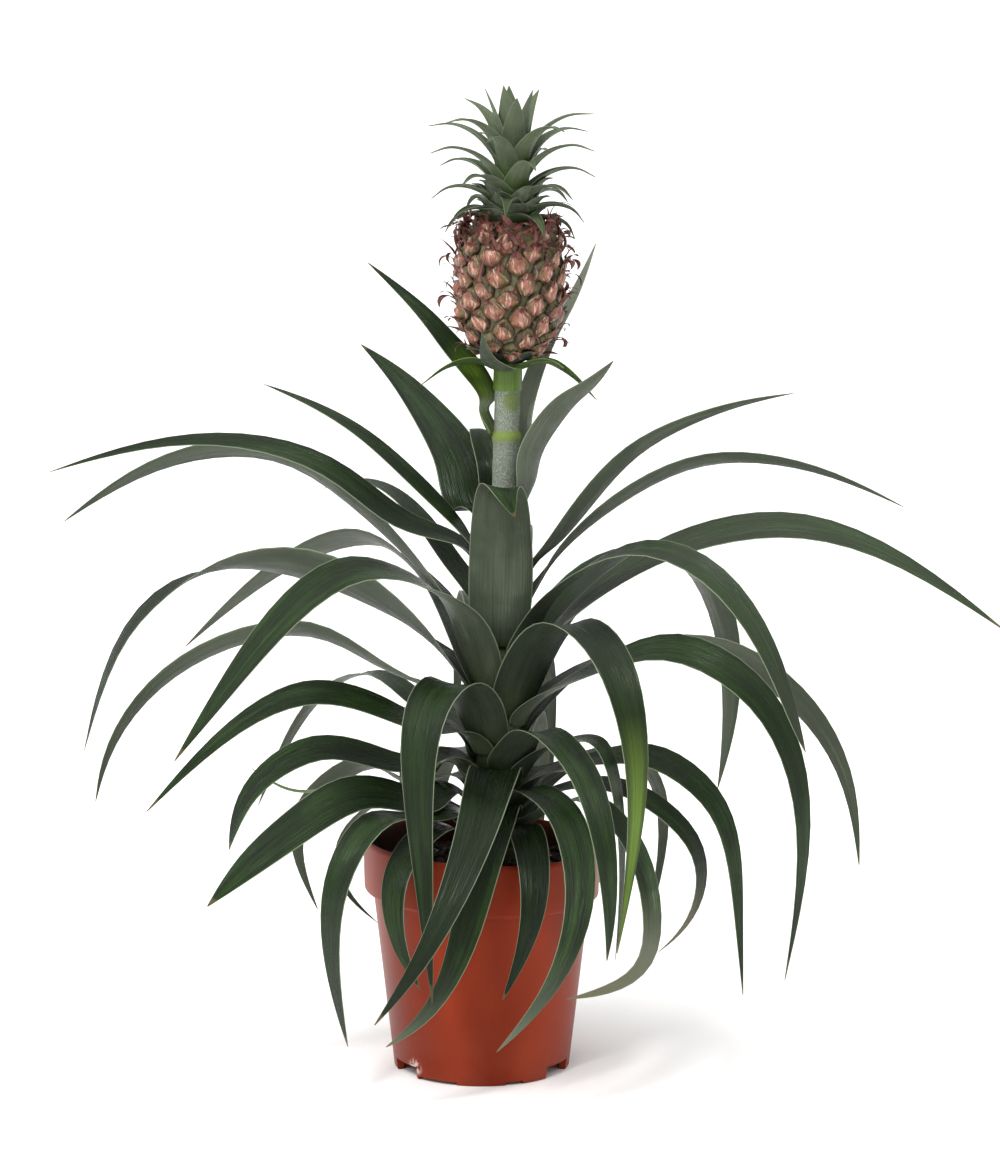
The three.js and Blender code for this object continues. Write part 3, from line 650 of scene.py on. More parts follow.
@dataclass(frozen=True)
class FruitSkin:
    """One of the fruit's skins, coloured along each eye from its foot to its point, with painted highlights
    in its keel colour and, on the sepals, painted shade in the gaps.
    """

    name: str
    foot: Colour
    middle: Colour
    point: Colour
    fleck: Colour
    side: Colour
    # keel is the pale colour of the keel's crest and of the light fine lines: painted highlight.
    keel: Colour
    fleck_share: float = 0.35
    side_share: float = 0.8
    keel_highlight_share: float = 0.5
    edge_share: float = 0.4
    rough: float = 0.5
    relief: float = 0.0004

    def make(self) -> Material:
        """Builds the material.

        Returns:
            The material, which reads the eye attribute: chance, place up the eye, place across.
        """
        material, sheet, shader = new_material(self.name, Specular_IOR_Level=0.5)
        eye = sheet.add("SeparateColor", {0: sheet.add("Attribute", attribute_name="eye").outputs["Color"]})
        chance, along, side = eye.outputs[0], eye.outputs[1], eye.outputs[2]
        grit = sheet.place(Mottle().make(), Patch=330.0, Grain=1500.0, Amount=0.5)
        far = sheet.times(chance, 30.0)
        lines = sheet.drawn_noise(side, along, far, (11.0, 2.6))
        cloud = sheet.drawn_noise(side, along, far, (2.6, 2.2))
        colour = sheet.blend(sheet.span(along, 0.0, 0.45), self.foot, self.middle)
        colour = sheet.blend(sheet.span(along, 0.55, 1.0), colour, self.point)
        off_keel = sheet.off_middle(side)
        # Flanks and cloudy patches take the side colour: a real olive or red-brown on the scales and dry
        # points, painted shade on the sepals.
        flank = sheet.plus(sheet.span(off_keel, 0.1, 0.46), sheet.span(cloud, 0.38, 0.62, -0.5, 0.5))
        colour = sheet.blend(sheet.span(flank, 0.15, 0.95, 0.0, self.side_share), colour, self.side)
        side_patches = sheet.times(sheet.span(cloud, 0.5, 0.66), sheet.span(along, 0.2, 0.6, 1.0, 0.25))
        colour = sheet.blend(sheet.times(side_patches, self.side_share), colour, self.side)
        # Painted highlight along the keel's crest.
        crest_highlight = sheet.times(sheet.span(off_keel, 0.0, 0.16, 1.0, 0.0), sheet.span(cloud, 0.3, 0.7))
        colour = sheet.blend(sheet.times(crest_highlight, self.keel_highlight_share), colour, self.keel)
        colour = sheet.blend(sheet.times(grit.outputs["Patches"], self.fleck_share), colour, self.fleck)
        colour = sheet.blend(sheet.span(chance, 0.0, 1.0, 0.0, 0.25), colour, self.fleck)
        # Fine lengthwise streaks: the light ones take the keel colour as painted highlight, the dark ones
        # the point colour.
        colour = sheet.blend(sheet.span(lines, 0.52, 0.7, 0.0, self.keel_highlight_share), colour, self.keel)
        colour = sheet.blend(sheet.span(lines, 0.47, 0.32, 0.0, self.edge_share), colour, self.point)
        rim = sheet.math("MAXIMUM", sheet.span(off_keel, 0.4, 0.5), sheet.span(along, 0.1, 0.0))
        colour = sheet.blend(sheet.times(rim, self.edge_share), colour, self.point)
        sheet.feed(shader.inputs["Base Color"], colour)
        rough = sheet.span(lines, 0.2, 0.8, self.rough - 0.06, self.rough + 0.1)
        sheet.feed(shader.inputs["Roughness"], rough)
        height = sheet.plus(lines, sheet.times(grit.outputs["Grains"], 0.4))
        sheet.feed(shader.inputs["Normal"], sheet.bump(height, 0.5, self.relief))
        return material


# Sepals: the near-black foot and side colours, also on the core between the bosses, are painted shade in
# the gaps between the eyes; the pale keel colour is a painted highlight.
SEPAL_FINISH = FruitSkin(
    name="fruit_sepals",
    foot=srgb(34, 20, 14),
    middle=srgb(64, 62, 32),
    point=srgb(98, 98, 56),
    fleck=srgb(66, 34, 22),
    side=srgb(40, 28, 18),
    keel=srgb(148, 146, 104),
    edge_share=0.0,
)
# Scales: the pale keel colour is a painted highlight.
SCALE_FINISH = FruitSkin(
    name="fruit_scales",
    foot=srgb(100, 62, 44),
    middle=srgb(156, 101, 81),
    point=srgb(78, 28, 20),
    fleck=srgb(104, 50, 38),
    side=srgb(84, 92, 40),
    keel=srgb(230, 197, 176),
    fleck_share=0.4,
    side_share=0.9,
    keel_highlight_share=0.62,
    edge_share=0.62,
    rough=0.36,
    relief=0.0008,
)
# Dry points: the orange-brown keel colour is a painted highlight.
POINT_FINISH = FruitSkin(
    name="dry_points",
    foot=srgb(134, 66, 46),
    middle=srgb(92, 32, 24),
    point=srgb(48, 24, 20),
    fleck=srgb(56, 26, 22),
    side=srgb(58, 22, 17),
    keel=srgb(176, 110, 78),
    rough=0.5,
)


@dataclass(frozen=True)
class PaleFloor:
    """Plain pale studio floor."""

    cool: Colour = srgb(247, 247, 246)
    warm: Colour = srgb(250, 250, 249)

    def make(self) -> Material:
        """Builds the material.

        Returns:
            The material.
        """
        material, sheet, shader = new_material("pale_floor", Roughness=0.9, Specular_IOR_Level=0.1)
        cloud = sheet.noise(sheet.add("TexCoord").outputs["Object"], 3.0, 2.0)
        sheet.feed(shader.inputs["Base Color"], sheet.blend(cloud, self.cool, self.warm))
        return material


# ---------------------------------------------------------------- mesh helpers
def show(name: str, data: ID) -> Object:
    """Makes an object and puts it in the scene.

    Args:
        name: Name of the object.
        data: Its mesh, lamp or camera.

    Returns:
        The object.
    """
    shown = bpy.data.objects.new(name, data)
    bpy.context.scene.collection.objects.link(shown)
    return shown


def mesh_of(bm: BMesh, name: str) -> Mesh:
    """Copies a bmesh, which stays as it is, into a new mesh.

    Args:
        bm: The bmesh.
        name: Name of the mesh.

    Returns:
        The mesh.
    """
    mesh = bpy.data.meshes.new(name)
    bm.to_mesh(mesh)
    return mesh


def turned(bm: BMesh, profile: Sequence[Point], steps: int) -> None:
    """Turns an outline of [radius, height] points about +Z into a closed skin.

    Args:
        bm: Mesh that the skin is added to.
        profile: The outline, whose first and last points lie on the axis.
        steps: Steps round the axis.
    """
    verts = [bm.verts.new((radius, 0.0, height)) for radius, height in profile]
    edges = [bm.edges.new(pair) for pair in zip(verts, verts[1:])]
    bmesh.ops.spin(
        bm,
        geom=verts + edges,
        cent=(0.0, 0.0, 0.0),
        axis=(0.0, 0.0, 1.0),
        angle=math.tau,
        steps=steps,
        use_merge=True,
    )
    bmesh.ops.remove_doubles(bm, verts=bm.verts, dist=1e-4)
    bmesh.ops.recalc_face_normals(bm, faces=bm.faces)


def rounded(profile: Sequence[Point], step: float) -> list[Point]:
    """Adds points to an outline so that no stretch is longer than a step.

    Args:
        profile: The outline.
        step: Longest stretch, in millimetres.

    Returns:
        The finer outline.
    """
    points = [profile[0]]
    for (r0, z0), (r1, z1) in zip(profile, profile[1:]):
        count = max(1, math.ceil(math.hypot(r1 - r0, z1 - z0) / step))
        points += [(lerp(r0, r1, k / count), lerp(z0, z1, k / count)) for k in range(1, count + 1)]
    return points


Placer = Callable[[float, float, float], Vector]


def add_blade(
    bm: BMesh, columns: int, rows: int, place: Placer, mark: Colour, layer: str = "leaf"
) -> None:
    """Adds one closed thin blade with its map and its mark.

    Args:
        bm: Mesh that the blade is added to.
        columns: Faces across.
        rows: Faces along.
        place: Gives a point from its place across, its place along and its side, 1 or -1.
        mark: Colour kept on every point of the blade, or for eyes its chance in the first number.
        layer: Name of the attribute that holds the mark.
    """
    chart = bm.loops.layers.uv.get("blade") or bm.loops.layers.uv.new("blade")
    marks = bm.verts.layers.float_color.get(layer) or bm.verts.layers.float_color.new(layer)
    flat = bmesh.ops.create_grid(bm, x_segments=columns, y_segments=rows, size=0.5)["verts"]
    faces = list(dict.fromkeys(face for vert in flat for face in vert.link_faces))
    grown = bmesh.ops.extrude_face_region(bm, geom=faces, use_keep_orig=True)["geom"]
    upper = {item for item in grown if isinstance(item, BMVert)}
    lower = set(flat)
    shell = {face for vert in upper | lower for face in vert.link_faces}
    for face in shell:
        shift = 2.0 if all(vert in lower for vert in face.verts) else 0.0
        for loop in face.loops:
            loop[chart].uv = (loop.vert.co.y + 0.5, loop.vert.co.x + 0.5 + shift)
    for group, side in ((upper, 1.0), (lower, -1.0)):
        for vert in group:
            across, along = vert.co.x + 0.5, vert.co.y + 0.5
            vert[marks] = (mark[0], along, across, 1.0) if layer == "eye" else mark
            vert.co = place(across, along, side)


def finish_piece(
    bm: BMesh,
    name: str,
    material: Material,
    slot: Slot,
    stands_for: Sequence[str] = (),
    fine: int = 0,
    to_frame: Matrix | None = None,
) -> Object:
    """Makes an object of a mesh in millimetres and tells the frame what it is.

    Args:
        bm: The mesh, which is freed.
        name: Name of the piece.
        material: Its finish.
        slot: The record's slot that the finish belongs to; not used.
        stands_for: CAD nodes that it replaces.
        fine: Levels of smooth subdivision.
        to_frame: Matrix to the frame's millimetres, if it isn't in them yet.

    Returns:
        The object.
    """
    bmesh.ops.transform(bm, matrix=Matrix.Scale(MM, 4) @ (to_frame or Matrix.Identity(4)), verts=bm.verts)
    for face in bm.faces:
        face.smooth = True
    mesh = mesh_of(bm, name)
    bm.free()
    mesh.materials.append(material)
    piece = show(name, mesh)
    if fine:
        smooth = piece.modifiers.new("fine", "SUBSURF")
        smooth.levels = fine
        smooth.render_levels = fine
        smooth.uv_smooth = "NONE"
    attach(piece, "root")
    if stands_for:
        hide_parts(*stands_for)
    LOG.info("%s: %d faces before its modifiers", name, len(mesh.polygons))
    return piece


# ---------------------------------------------------------------- pot and soil
@dataclass
class NurseryPot:
    """Soft nursery pot with a stepped rim, foot pads and drain notches."""

    height: float = 88.0
    rim_radius: float = 45.0
    shoulder_radius: float = 41.2
    foot_radius: float = 33.5
    wall: float = 1.3
    skirt_drop: float = 20.0
    floor_height: float = 5.0
    skew: float = 0.02
    steps: int = 144
    first_notch: float = 197.0

    def profile(self) -> list[Point]:
        """Outline of the pot from the middle of its foot up, over the rim and down inside.

        Returns:
            The [radius, height] points.
        """
        step = self.height - self.skirt_drop
        foot, rim = self.foot_radius, self.rim_radius
        return [
            (0.0, self.floor_height),
            (foot - 3.2, self.floor_height),
            (foot - 2.4, 0.0),
            (foot - 0.4, 0.0),
            (foot, 0.6),
            (self.shoulder_radius, step - 1.2),
            (rim - 1.2, step - 0.1),
            (rim - 0.5, step + 0.5),
            (rim - 0.3, step + 1.4),
            (rim, self.height - 2.2),
            (rim - 0.15, self.height - 0.7),
            (rim - 0.6, self.height - 0.05),
            (rim - 1.5, self.height - 0.1),
            (rim - 1.95, self.height - 0.8),
            (rim - self.wall - 1.0, self.height - 2.6),
            (self.shoulder_radius - self.wall, step - 1.0),
            (foot - self.wall, self.floor_height + self.wall + 1.0),
            (foot - self.wall - 1.5, self.floor_height + self.wall),
            (0.0, self.floor_height + self.wall),
        ]

    def notch(self, start: float, sweep: float, top: float) -> Object:
        """Block that cuts one notch out of the foot's ring.

        Args:
            start: Compass direction of its start, in degrees.
            sweep: Its length round the foot, in degrees.
            top: Its height.

        Returns:
            The cutting block.
        """
        bm = bmesh.new()
        bmesh.ops.create_cube(bm, size=1.0)
        long_edges = [e for e in bm.edges if abs(e.verts[0].co.x - e.verts[1].co.x) > 0.5]
        bmesh.ops.subdivide_edges(bm, edges=long_edges, cuts=7, use_grid_fill=True)
        for vert in bm.verts:
            turn = math.radians(start + sweep * (vert.co.x + 0.5))
            radius = lerp(self.foot_radius - 4.2, self.foot_radius + 3.0, vert.co.y + 0.5)
            lift = lerp(-1.0, top, vert.co.z + 0.5)
            vert.co = (radius * math.cos(turn), radius * math.sin(turn), lift)
        bmesh.ops.recalc_face_normals(bm, faces=bm.faces)
        block = show("notch", mesh_of(bm, "notch"))
        bm.free()
        return block

    def cut(self, bm: BMesh) -> None:
        """Cuts the three deep drain notches and the low gaps between the pads.

        Args:
            bm: The turned pot, which is cut in place.
        """
        uncut = show("uncut", mesh_of(bm, "uncut"))
        blocks = []
        cuts = ((0.0, 26.0, self.floor_height - 0.4), (28.0, 29.0, 1.2), (89.0, 12.0, 1.2))
        for third in range(3):
            start = self.first_notch + 120.0 * third
            for offset, sweep, top in cuts:
                block = self.notch(start + offset, sweep, top)
                blocks.append(block)
                cutter = uncut.modifiers.new("cut", "BOOLEAN")
                cutter.operation = "DIFFERENCE"
                cutter.solver = "EXACT"
                cutter.object = block
        shaped = uncut.evaluated_get(bpy.context.evaluated_depsgraph_get())
        bm.clear()
        bm.from_mesh(shaped.to_mesh())
        shaped.to_mesh_clear()
        for spare in (*blocks, uncut):
            bpy.data.objects.remove(spare)

    def build(self) -> None:
        """Models the pot and gives it its finish."""
        bm = bmesh.new()
        turned(bm, rounded(self.profile(), 6.0), self.steps)
        self.cut(bm)
        bmesh.ops.remove_doubles(bm, verts=bm.verts, dist=1e-3)
        for vert in bm.verts:
            vert.co.z *= 1.0 - self.skew * vert.co.x / self.rim_radius
        at_pot = Matrix.Translation(POT_AXIS)
        finish = TerracottaPlastic().make()
        piece = finish_piece(bm, "nursery_pot", finish, Slot.POT, ["pot"], to_frame=at_pot)
        edge = piece.modifiers.new("soft_edges", "BEVEL")
        edge.width = 0.0003
        edge.segments = 2
        edge.limit_method = "ANGLE"
        edge.angle_limit = math.radians(35.0)
        edge.harden_normals = True


@dataclass
class Soil:
    """Potting soil with crumbs and perlite on its surface."""

    edge_radius: float = 41.3
    relief: float = 1.6
    crumbs: int = 420
    perlite: int = 46
    scatter_radius: float = 39.8
    seed: int = 11

    def surface(self, x: float, y: float) -> float:
        """Height of the soil at a place, with mounds and fine lumps.

        Args:
            x: Place to the right of the pot's axis.
            y: Place behind the pot's axis.

        Returns:
            The height.
        """
        radius = math.hypot(x, y)
        mound = self.relief * math.sin(0.21 * x + 0.6) * math.cos(0.17 * y + 0.4)
        lumps = 1.1 * noise.fractal(Vector((x * 0.22, y * 0.22, 3.0)), 1.0, 2.0, 4)
        collar = 2.2 * (1.0 - smoothstep(math.hypot(x - STEM_SHIFT, y), 8.0, 17.0))
        side = -1.0 * smoothstep(radius, 36.0, 41.5)
        return SOIL_LEVEL + mound + lumps + collar + side

    def grains(self, count: int, low: float, high: float, seed: int) -> BMesh:
        """Scatters rough grains on the surface.

        Args:
            count: How many.
            low: Smallest radius.
            high: Largest radius.
            seed: Seed of their places.

        Returns:
            The mesh of all grains.
        """
        chance = random.Random(seed)
        bm = bmesh.new()
        for _ in range(count):
            radius = self.scatter_radius * math.sqrt(chance.random())
            turn = chance.uniform(0.0, math.tau)
            x, y = radius * math.cos(turn), radius * math.sin(turn)
            size = chance.uniform(low, high)
            grain = bmesh.ops.create_icosphere(bm, subdivisions=1, radius=size)["verts"]
            for vert in grain:
                vert.co *= chance.uniform(0.7, 1.25)
            spin = chance.uniform(0.0, math.tau)
            tilt = Matrix.Rotation(spin, 4, Vector((chance.random(), chance.random(), 1.0)))
            sunk = Matrix.Translation((x, y, self.surface(x, y) + size * 0.25))
            flat = Matrix.Diagonal((1.0, 0.85, 0.7, 1.0))
            bmesh.ops.transform(bm, matrix=sunk @ tilt @ flat, verts=grain)
        return bm

    def build(self) -> None:
        """Models the soil, its crumbs and its perlite."""
        bm = bmesh.new()
        body = [(0.0, 6.6), (30.2, 6.6), (31.5, 8.0), (39.3, 67.0), (self.edge_radius, SOIL_LEVEL - 0.8)]
        top = [(self.edge_radius * (1.0 - k / 40.0), SOIL_LEVEL) for k in range(1, 41)]
        turned(bm, body + top, 132)
        for vert in bm.verts:
            if vert.co.z > SOIL_LEVEL - 0.5:
                vert.co.z = self.surface(vert.co.x, vert.co.y)
        at_pot = Matrix.Translation(POT_AXIS)
        peat = PottingSoil().make()
        finish_piece(bm, "potting_soil", peat, Slot.SOIL, ["soil"], to_frame=at_pot)
        crumbs = self.grains(self.crumbs, 0.5, 1.5, self.seed)
        finish_piece(crumbs, "soil_crumbs", peat, Slot.SOIL, to_frame=at_pot)
        specks = self.grains(self.perlite, 0.4, 1.0, self.seed + 1)
        finish_piece(specks, "perlite_grains", Perlite().make(), Slot.SOIL, to_frame=at_pot)


# ---------------------------------------------------------------- stem and stalk
@dataclass
class CurvedBlade:
    """A short channelled blade along a curve in an upright plane.

    Attributes:
        centres: The curve that its middle follows.
        width: Its full width.
        taper: Power by which it narrows, so that a low one narrows early.
        tip: Least width towards the tip, as a share of the full width.
        curl: Radius of its channel.
        edge: Thickness at its margins.
        middle: Thickness along its middle.
        turn: Compass direction in degrees.
        roll: Turn about its own length in degrees.
    """

    centres: list[Vector]
    width: float
    taper: float
    tip: float
    curl: float
    edge: float
    middle: float
    turn: float
    roll: float = 0.0

    def point(self, across: float, along: float, side: float) -> Vector:
        """Finds a point on the blade's skin.

        Args:
            across: Place across, 0 to 1.
            along: Place along, 0 at the root and 1 at the tip.
            side: 1 on the upper skin and -1 on the under skin.

        Returns:
            The point in the plant's millimetres.
        """
        centre = spline(self.centres, along)
        tangent = (spline(self.centres, along + 0.02) - spline(self.centres, along - 0.02)).normalized()
        tipped = Matrix.Rotation(math.radians(self.roll) * smoothstep(along, 0.1, 0.5), 3, tangent)
        sideways = tipped @ Vector((0.0, 1.0, 0.0))
        up = tangent.cross(sideways)
        width = self.width * max(1.0 - along**self.taper, self.tip * (1.0 - along))
        curl = max(self.curl * width / self.width, 1.0)
        place = 2.0 * across - 1.0
        angle = place * width / 2.0 / curl
        normal = up * math.cos(angle) - sideways * math.sin(angle)
        half = lerp(self.middle, self.edge, place * place) / 2.0 * lerp(1.0, 0.5, along)
        spot = centre + sideways * (curl * math.sin(angle)) + up * (curl * (1.0 - math.cos(angle)))
        return Matrix.Rotation(math.radians(self.turn), 3, "Z") @ (spot + normal * (half * side))


@dataclass(frozen=True)
class Bract:
    """One bract between the stalk and the fruit.

    Attributes:
        turn: Compass direction in degrees.
        width: Its full width.
        path: The [radius, height] points that its middle follows.
        roll: Turn about its own length in degrees.
        grey: Whether it has the rosette's finish.
        hollow_share: Radius of its channel as a share of its width.
        bloom_and_shade: Pale bloom above 0 and painted shade below 0, from -1 to 1.
    """

    turn: float
    width: float
    path: tuple[Point, ...]
    roll: float = 0.0
    grey: bool = False
    hollow_share: float = 0.8
    bloom_and_shade: float = 0.0

    def blade(self) -> CurvedBlade:
        """Gives the bract's blade.

        Returns:
            The blade.
        """
        return CurvedBlade(
            centres=[Vector((radius, 0.0, height)) for radius, height in self.path],
            width=self.width,
            taper=1.5,
            tip=0.14,
            curl=self.width * self.hollow_share,
            edge=0.4,
            middle=0.9,
            turn=self.turn,
            roll=self.roll,
        )


SHORT_BRACT_PATH = ((4.2, 270.5), (8.5, 273.0), (13.0, 275.5), (17.0, 276.0))
# The two darkened bracts carry painted shade.
BRACTS = (
    Bract(205.0, 9.0, ((4.2, 268.0), (14.0, 271.0), (25.0, 269.5), (36.0, 263.0)), 34.0, bloom_and_shade=-0.9),
    Bract(2.0, 9.0, ((4.2, 268.0), (14.0, 271.0), (24.0, 266.0), (34.0, 256.5)), -34.0),
    Bract(
        244.0,
        12.5,
        ((4.4, 267.8), (12.0, 270.5), (19.0, 275.0), (23.0, 284.5)),
        grey=True,
        hollow_share=1.6,
    ),
    Bract(125.0, 6.0, ((4.2, 267.0), (12.0, 270.0), (18.0, 268.0), (24.0, 262.0)), 20.0, bloom_and_shade=-0.9),
    Bract(318.0, 6.0, ((4.2, 269.0), (14.0, 272.0), (22.0, 273.0), (28.0, 271.0)), -20.0),
    Bract(82.0, 7.0, ((4.2, 266.0), (12.0, 270.0), (20.0, 267.0), (28.0, 257.0))),
    *(Bract(36.0 * k + 20.0, 8.0, SHORT_BRACT_PATH, grey=True) for k in range(10)),
)


@dataclass
class StemAndStalk:
    """Leafy stem, fruit stalk and the bracts under the fruit."""

    stem_radius: float = 8.8
    stem_top_radius: float = 5.4
    stem_top: float = 203.0
    root_depth: float = 32.0
    steps: int = 60
    groove: float = 0.3
    stalk_radius: float = 5.0
    stalk_top: float = 273.8

    def stem(self) -> None:
        """Models the leafy stem with a shallow groove at every old sheath."""
        bottom = SOIL_LEVEL - self.root_depth
        profile = [(0.0, bottom), (self.stem_radius - 2.5, bottom), (self.stem_radius, bottom + 6.0)]
        for k in range(1, self.steps + 1):
            height = lerp(bottom + 6.0, self.stem_top, k / self.steps)
            radius = lerp(self.stem_radius, self.stem_top_radius, smoothstep(height, 135.0, self.stem_top))
            profile.append((radius - self.groove * (k % 3 == 0), height))
        profile.append((0.0, self.stem_top))
        bm = bmesh.new()
        turned(bm, profile, 48)
        finish_piece(bm, "leafy_stem", StemSkin().make(), Slot.STEM, ["stem"], to_frame=plant_matrix())

    def stalk(self) -> None:
        """Models the fruit stalk with its node ring and the sheath below the fruit."""
        radius, top = self.stalk_radius, self.stalk_top
        outline = [
            (0.0, self.stem_top + 0.3),
            (radius + 0.2, self.stem_top + 0.3),
            (radius, 228.0),
            (radius, 240.0),
            (radius + 0.45, 241.4),
            (radius + 0.65, 242.8),
            (radius + 0.3, 244.1),
            (radius - 0.2, 245.0),
            (radius - 0.2, 259.8),
            (radius + 0.3, 260.3),
            (radius + 0.5, 261.2),
            (radius + 0.3, 270.0),
            (radius - 0.4, top - 1.0),
            (radius - 2.2, top),
            (0.0, top),
        ]
        bm = bmesh.new()
        turned(bm, rounded(outline, 2.5), 56)
        for vert in bm.verts:
            if math.hypot(vert.co.x, vert.co.y) > 2.0:
                swell = 0.16 * noise.noise(vert.co * 0.35)
                vert.co.x *= 1.0 + swell / radius
                vert.co.y *= 1.0 + swell / radius
        skin = StalkSkin().make()
        finish_piece(
            bm, "fruit_stalk_skin", skin, Slot.STALK, ["fruit_stalk"], to_frame=plant_matrix()
        )

    def bracts(self) -> None:
        """Models the pointed bracts between the stalk and the fruit."""
        kinds = ((False, "green_bracts", BRACT_FINISH), (True, "grey_bract", ROSETTE_FINISH))
        for grey, name, finish in kinds:
            bm = bmesh.new()
            for order, bract in enumerate(BRACTS):
                if bract.grey == grey:
                    mark = (0.05 * order, bract.bloom_and_shade, 0.0, 0.0)
                    add_blade(bm, 6, 12, bract.blade().point, mark)
            bmesh.ops.recalc_face_normals(bm, faces=bm.faces)
            made = bpy.data.materials.get(finish.name) or finish.make()
            finish_piece(bm, name, made, Slot.STALK, ["fruit_stalk"], fine=1, to_frame=plant_matrix())

    def build(self) -> None:
        """Models all pieces of the stem and the stalk."""
        self.stem()
        self.stalk()
        self.bracts()


# ---------------------------------------------------------------- fruit
@dataclass
class Fruit:
    """Young fruit: eyes by the golden angle, each with sepals, a pink scale and a dry point."""

    bottom: float = 275.0
    height: float = 46.0
    radius: float = 18.0
    eyes: int = 78
    frill: int = 150
    broad_points: int = 34
    seed: int = 5
    long_points: tuple[tuple[float, float, float], ...] = (
        (0.72, 184.0, 13.0),
        (0.38, 188.0, 11.0),
        (0.22, 196.0, 8.0),
        (0.68, -8.0, 10.0),
        (0.4, -4.0, 9.0),
        (0.1, -12.0, 10.0),
        (0.5, 60.0, 10.0),
        (0.3, 120.0, 11.0),
    )

    def skin_radius(self, share: float) -> float:
        """Radius of the flesh at a share of the fruit's height."""
        barrel = math.sqrt(max(0.0, 1.0 - abs(1.86 * share - 0.98) ** 2.8))
        return self.radius * (0.34 + 0.66 * barrel) * lerp(0.94, 1.02, share)

    def even_shares(self) -> list[float]:
        """Heights that divide the skin evenly among the eyes.

        Returns:
            The share of the fruit's height of every eye.
        """
        steps = 400
        sums = [0.0]
        for k in range(1, steps + 1):
            low, high = self.skin_radius((k - 1) / steps), self.skin_radius(k / steps)
            sums.append(sums[-1] + math.hypot(self.height / steps, high - low) * (low + high))
        wanted = [sums[-1] * (eye + 0.5) / self.eyes for eye in range(self.eyes)]
        return [next(k for k, total in enumerate(sums) if total >= want) / steps for want in wanted]

    def eye_frame(self, share: float, turn: float) -> Matrix:
        """Frame on the skin: +X round the fruit, +Y up the skin and +Z outwards.

        Args:
            share: Share of the fruit's height.
            turn: Compass direction in radians.

        Returns:
            The matrix from the eye's millimetres to the plant's.
        """
        rise = 0.01
        widening = self.skin_radius(share + rise) - self.skin_radius(share - rise)
        slope = widening / (2.0 * rise * self.height)
        outwards = Vector((1.0, 0.0, -max(-1.2, min(1.2, slope)))).normalized()
        sideways = Vector((0.0, 1.0, 0.0))
        upwards = outwards.cross(sideways)
        axes = Matrix((sideways, upwards, outwards)).transposed().to_4x4()
        spot = Vector((self.skin_radius(share), 0.0, share * self.height + self.bottom))
        return Matrix.Rotation(turn, 4, "Z") @ Matrix.Translation(spot) @ axes

    @staticmethod
    def dome(x: float, y: float) -> float:
        """Height of an eye's boss above the skin at a place in the eye."""
        return 2.3 * max(0.0, 1.0 - (x / 4.7) ** 2 - (y / 4.5) ** 2) ** 0.6

    def flesh(self) -> BMesh:
        """Models the core with a three-lobed boss of sepals for every eye.

        Returns:
            The mesh.
        """
        bm = bmesh.new()
        marks = bm.verts.layers.float_color.new("eye")
        outline = [(0.0, self.bottom - 0.2)]
        for k in range(33):
            share = k / 32.0
            outline.append((self.skin_radius(share) - 0.4, self.bottom + share * self.height))
        outline += [(7.6, self.bottom + self.height + 0.1), (7.2, self.bottom + self.height + 0.75)]
        outline.append((0.0, self.bottom + self.height + 0.75))
        turned(bm, outline, 72)
        # The core takes the sepals' near-black foot colour: painted shade between the eyes.
        for vert in bm.verts:
            vert[marks] = (0.5, 0.0, 0.5, 1.0)
        chance = random.Random(self.seed)
        for eye, share in enumerate(self.even_shares()):
            pick = chance.random()
            boss = bmesh.ops.create_icosphere(bm, subdivisions=3, radius=1.0)["verts"]
            to_skin = self.eye_frame(share, eye * GOLDEN_ANGLE)
            for vert in boss:
                x, y, z = vert.co
                turn = math.atan2(y, x)
                wave = math.cos(3.0 * (turn - math.pi / 2.0))
                lobes = 1.0 + 0.08 * wave * (1.0 - z * z)
                crease = 0.4 * (0.5 - 0.5 * wave) ** 2 * math.hypot(x, y)
                vert[marks] = (pick, 0.5 + 0.5 * y, 0.5 + 0.5 * x, 1.0)
                vert.co = (4.35 * x * lobes, 4.2 * y * lobes, 2.45 * z * (1.0 - crease) - 0.1)
            bmesh.ops.transform(bm, matrix=to_skin, verts=boss)
        return bm

    def scales(self) -> BMesh:
        """Models the pink cupped scale over the lower half of every eye.

        Returns:
            The mesh.
        """
        bm = bmesh.new()
        chance = random.Random(self.seed + 1)
        for eye, share in enumerate(self.even_shares()):
            to_skin = self.eye_frame(share, eye * GOLDEN_ANGLE + chance.uniform(-0.04, 0.04))
            to_skin = to_skin @ Matrix.Rotation(chance.uniform(-0.32, 0.32), 4, "Z")
            wide = chance.uniform(3.7, 5.2)
            reach = chance.uniform(2.2, 4.6)
            lean = chance.uniform(-1.6, 1.6)
            sharp = chance.uniform(0.6, 1.7)

            def place(across: float, along: float, side: float) -> Vector:
                """Puts a point of the scale on the eye's boss."""
                offset = 2.0 * across - 1.0
                swell = max(0.0, min(along / 0.42, (1.0 - along) / 0.58)) ** 0.58
                x = offset * max(wide * swell, 0.12) + lean * along * along
                y = lerp(-4.7, reach, along)
                keel = sharp * (1.0 - abs(offset)) ** 1.2 * math.sin(math.pi * min(1.0, along * 0.85 + 0.1))
                wave = 1.5 * noise.noise(Vector((x * 0.6, y * 0.5, eye * 3.0)))
                rise = self.dome(x, y) + 0.2 + keel + wave + 1.2 * smoothstep(along, 0.65, 1.0)
                return to_skin @ Vector((x, y, rise + 0.18 * side))

            add_blade(bm, 8, 10, place, (chance.random(), 0.0, 0.0, 1.0), "eye")
        bmesh.ops.recalc_face_normals(bm, faces=bm.faces)
        return bm

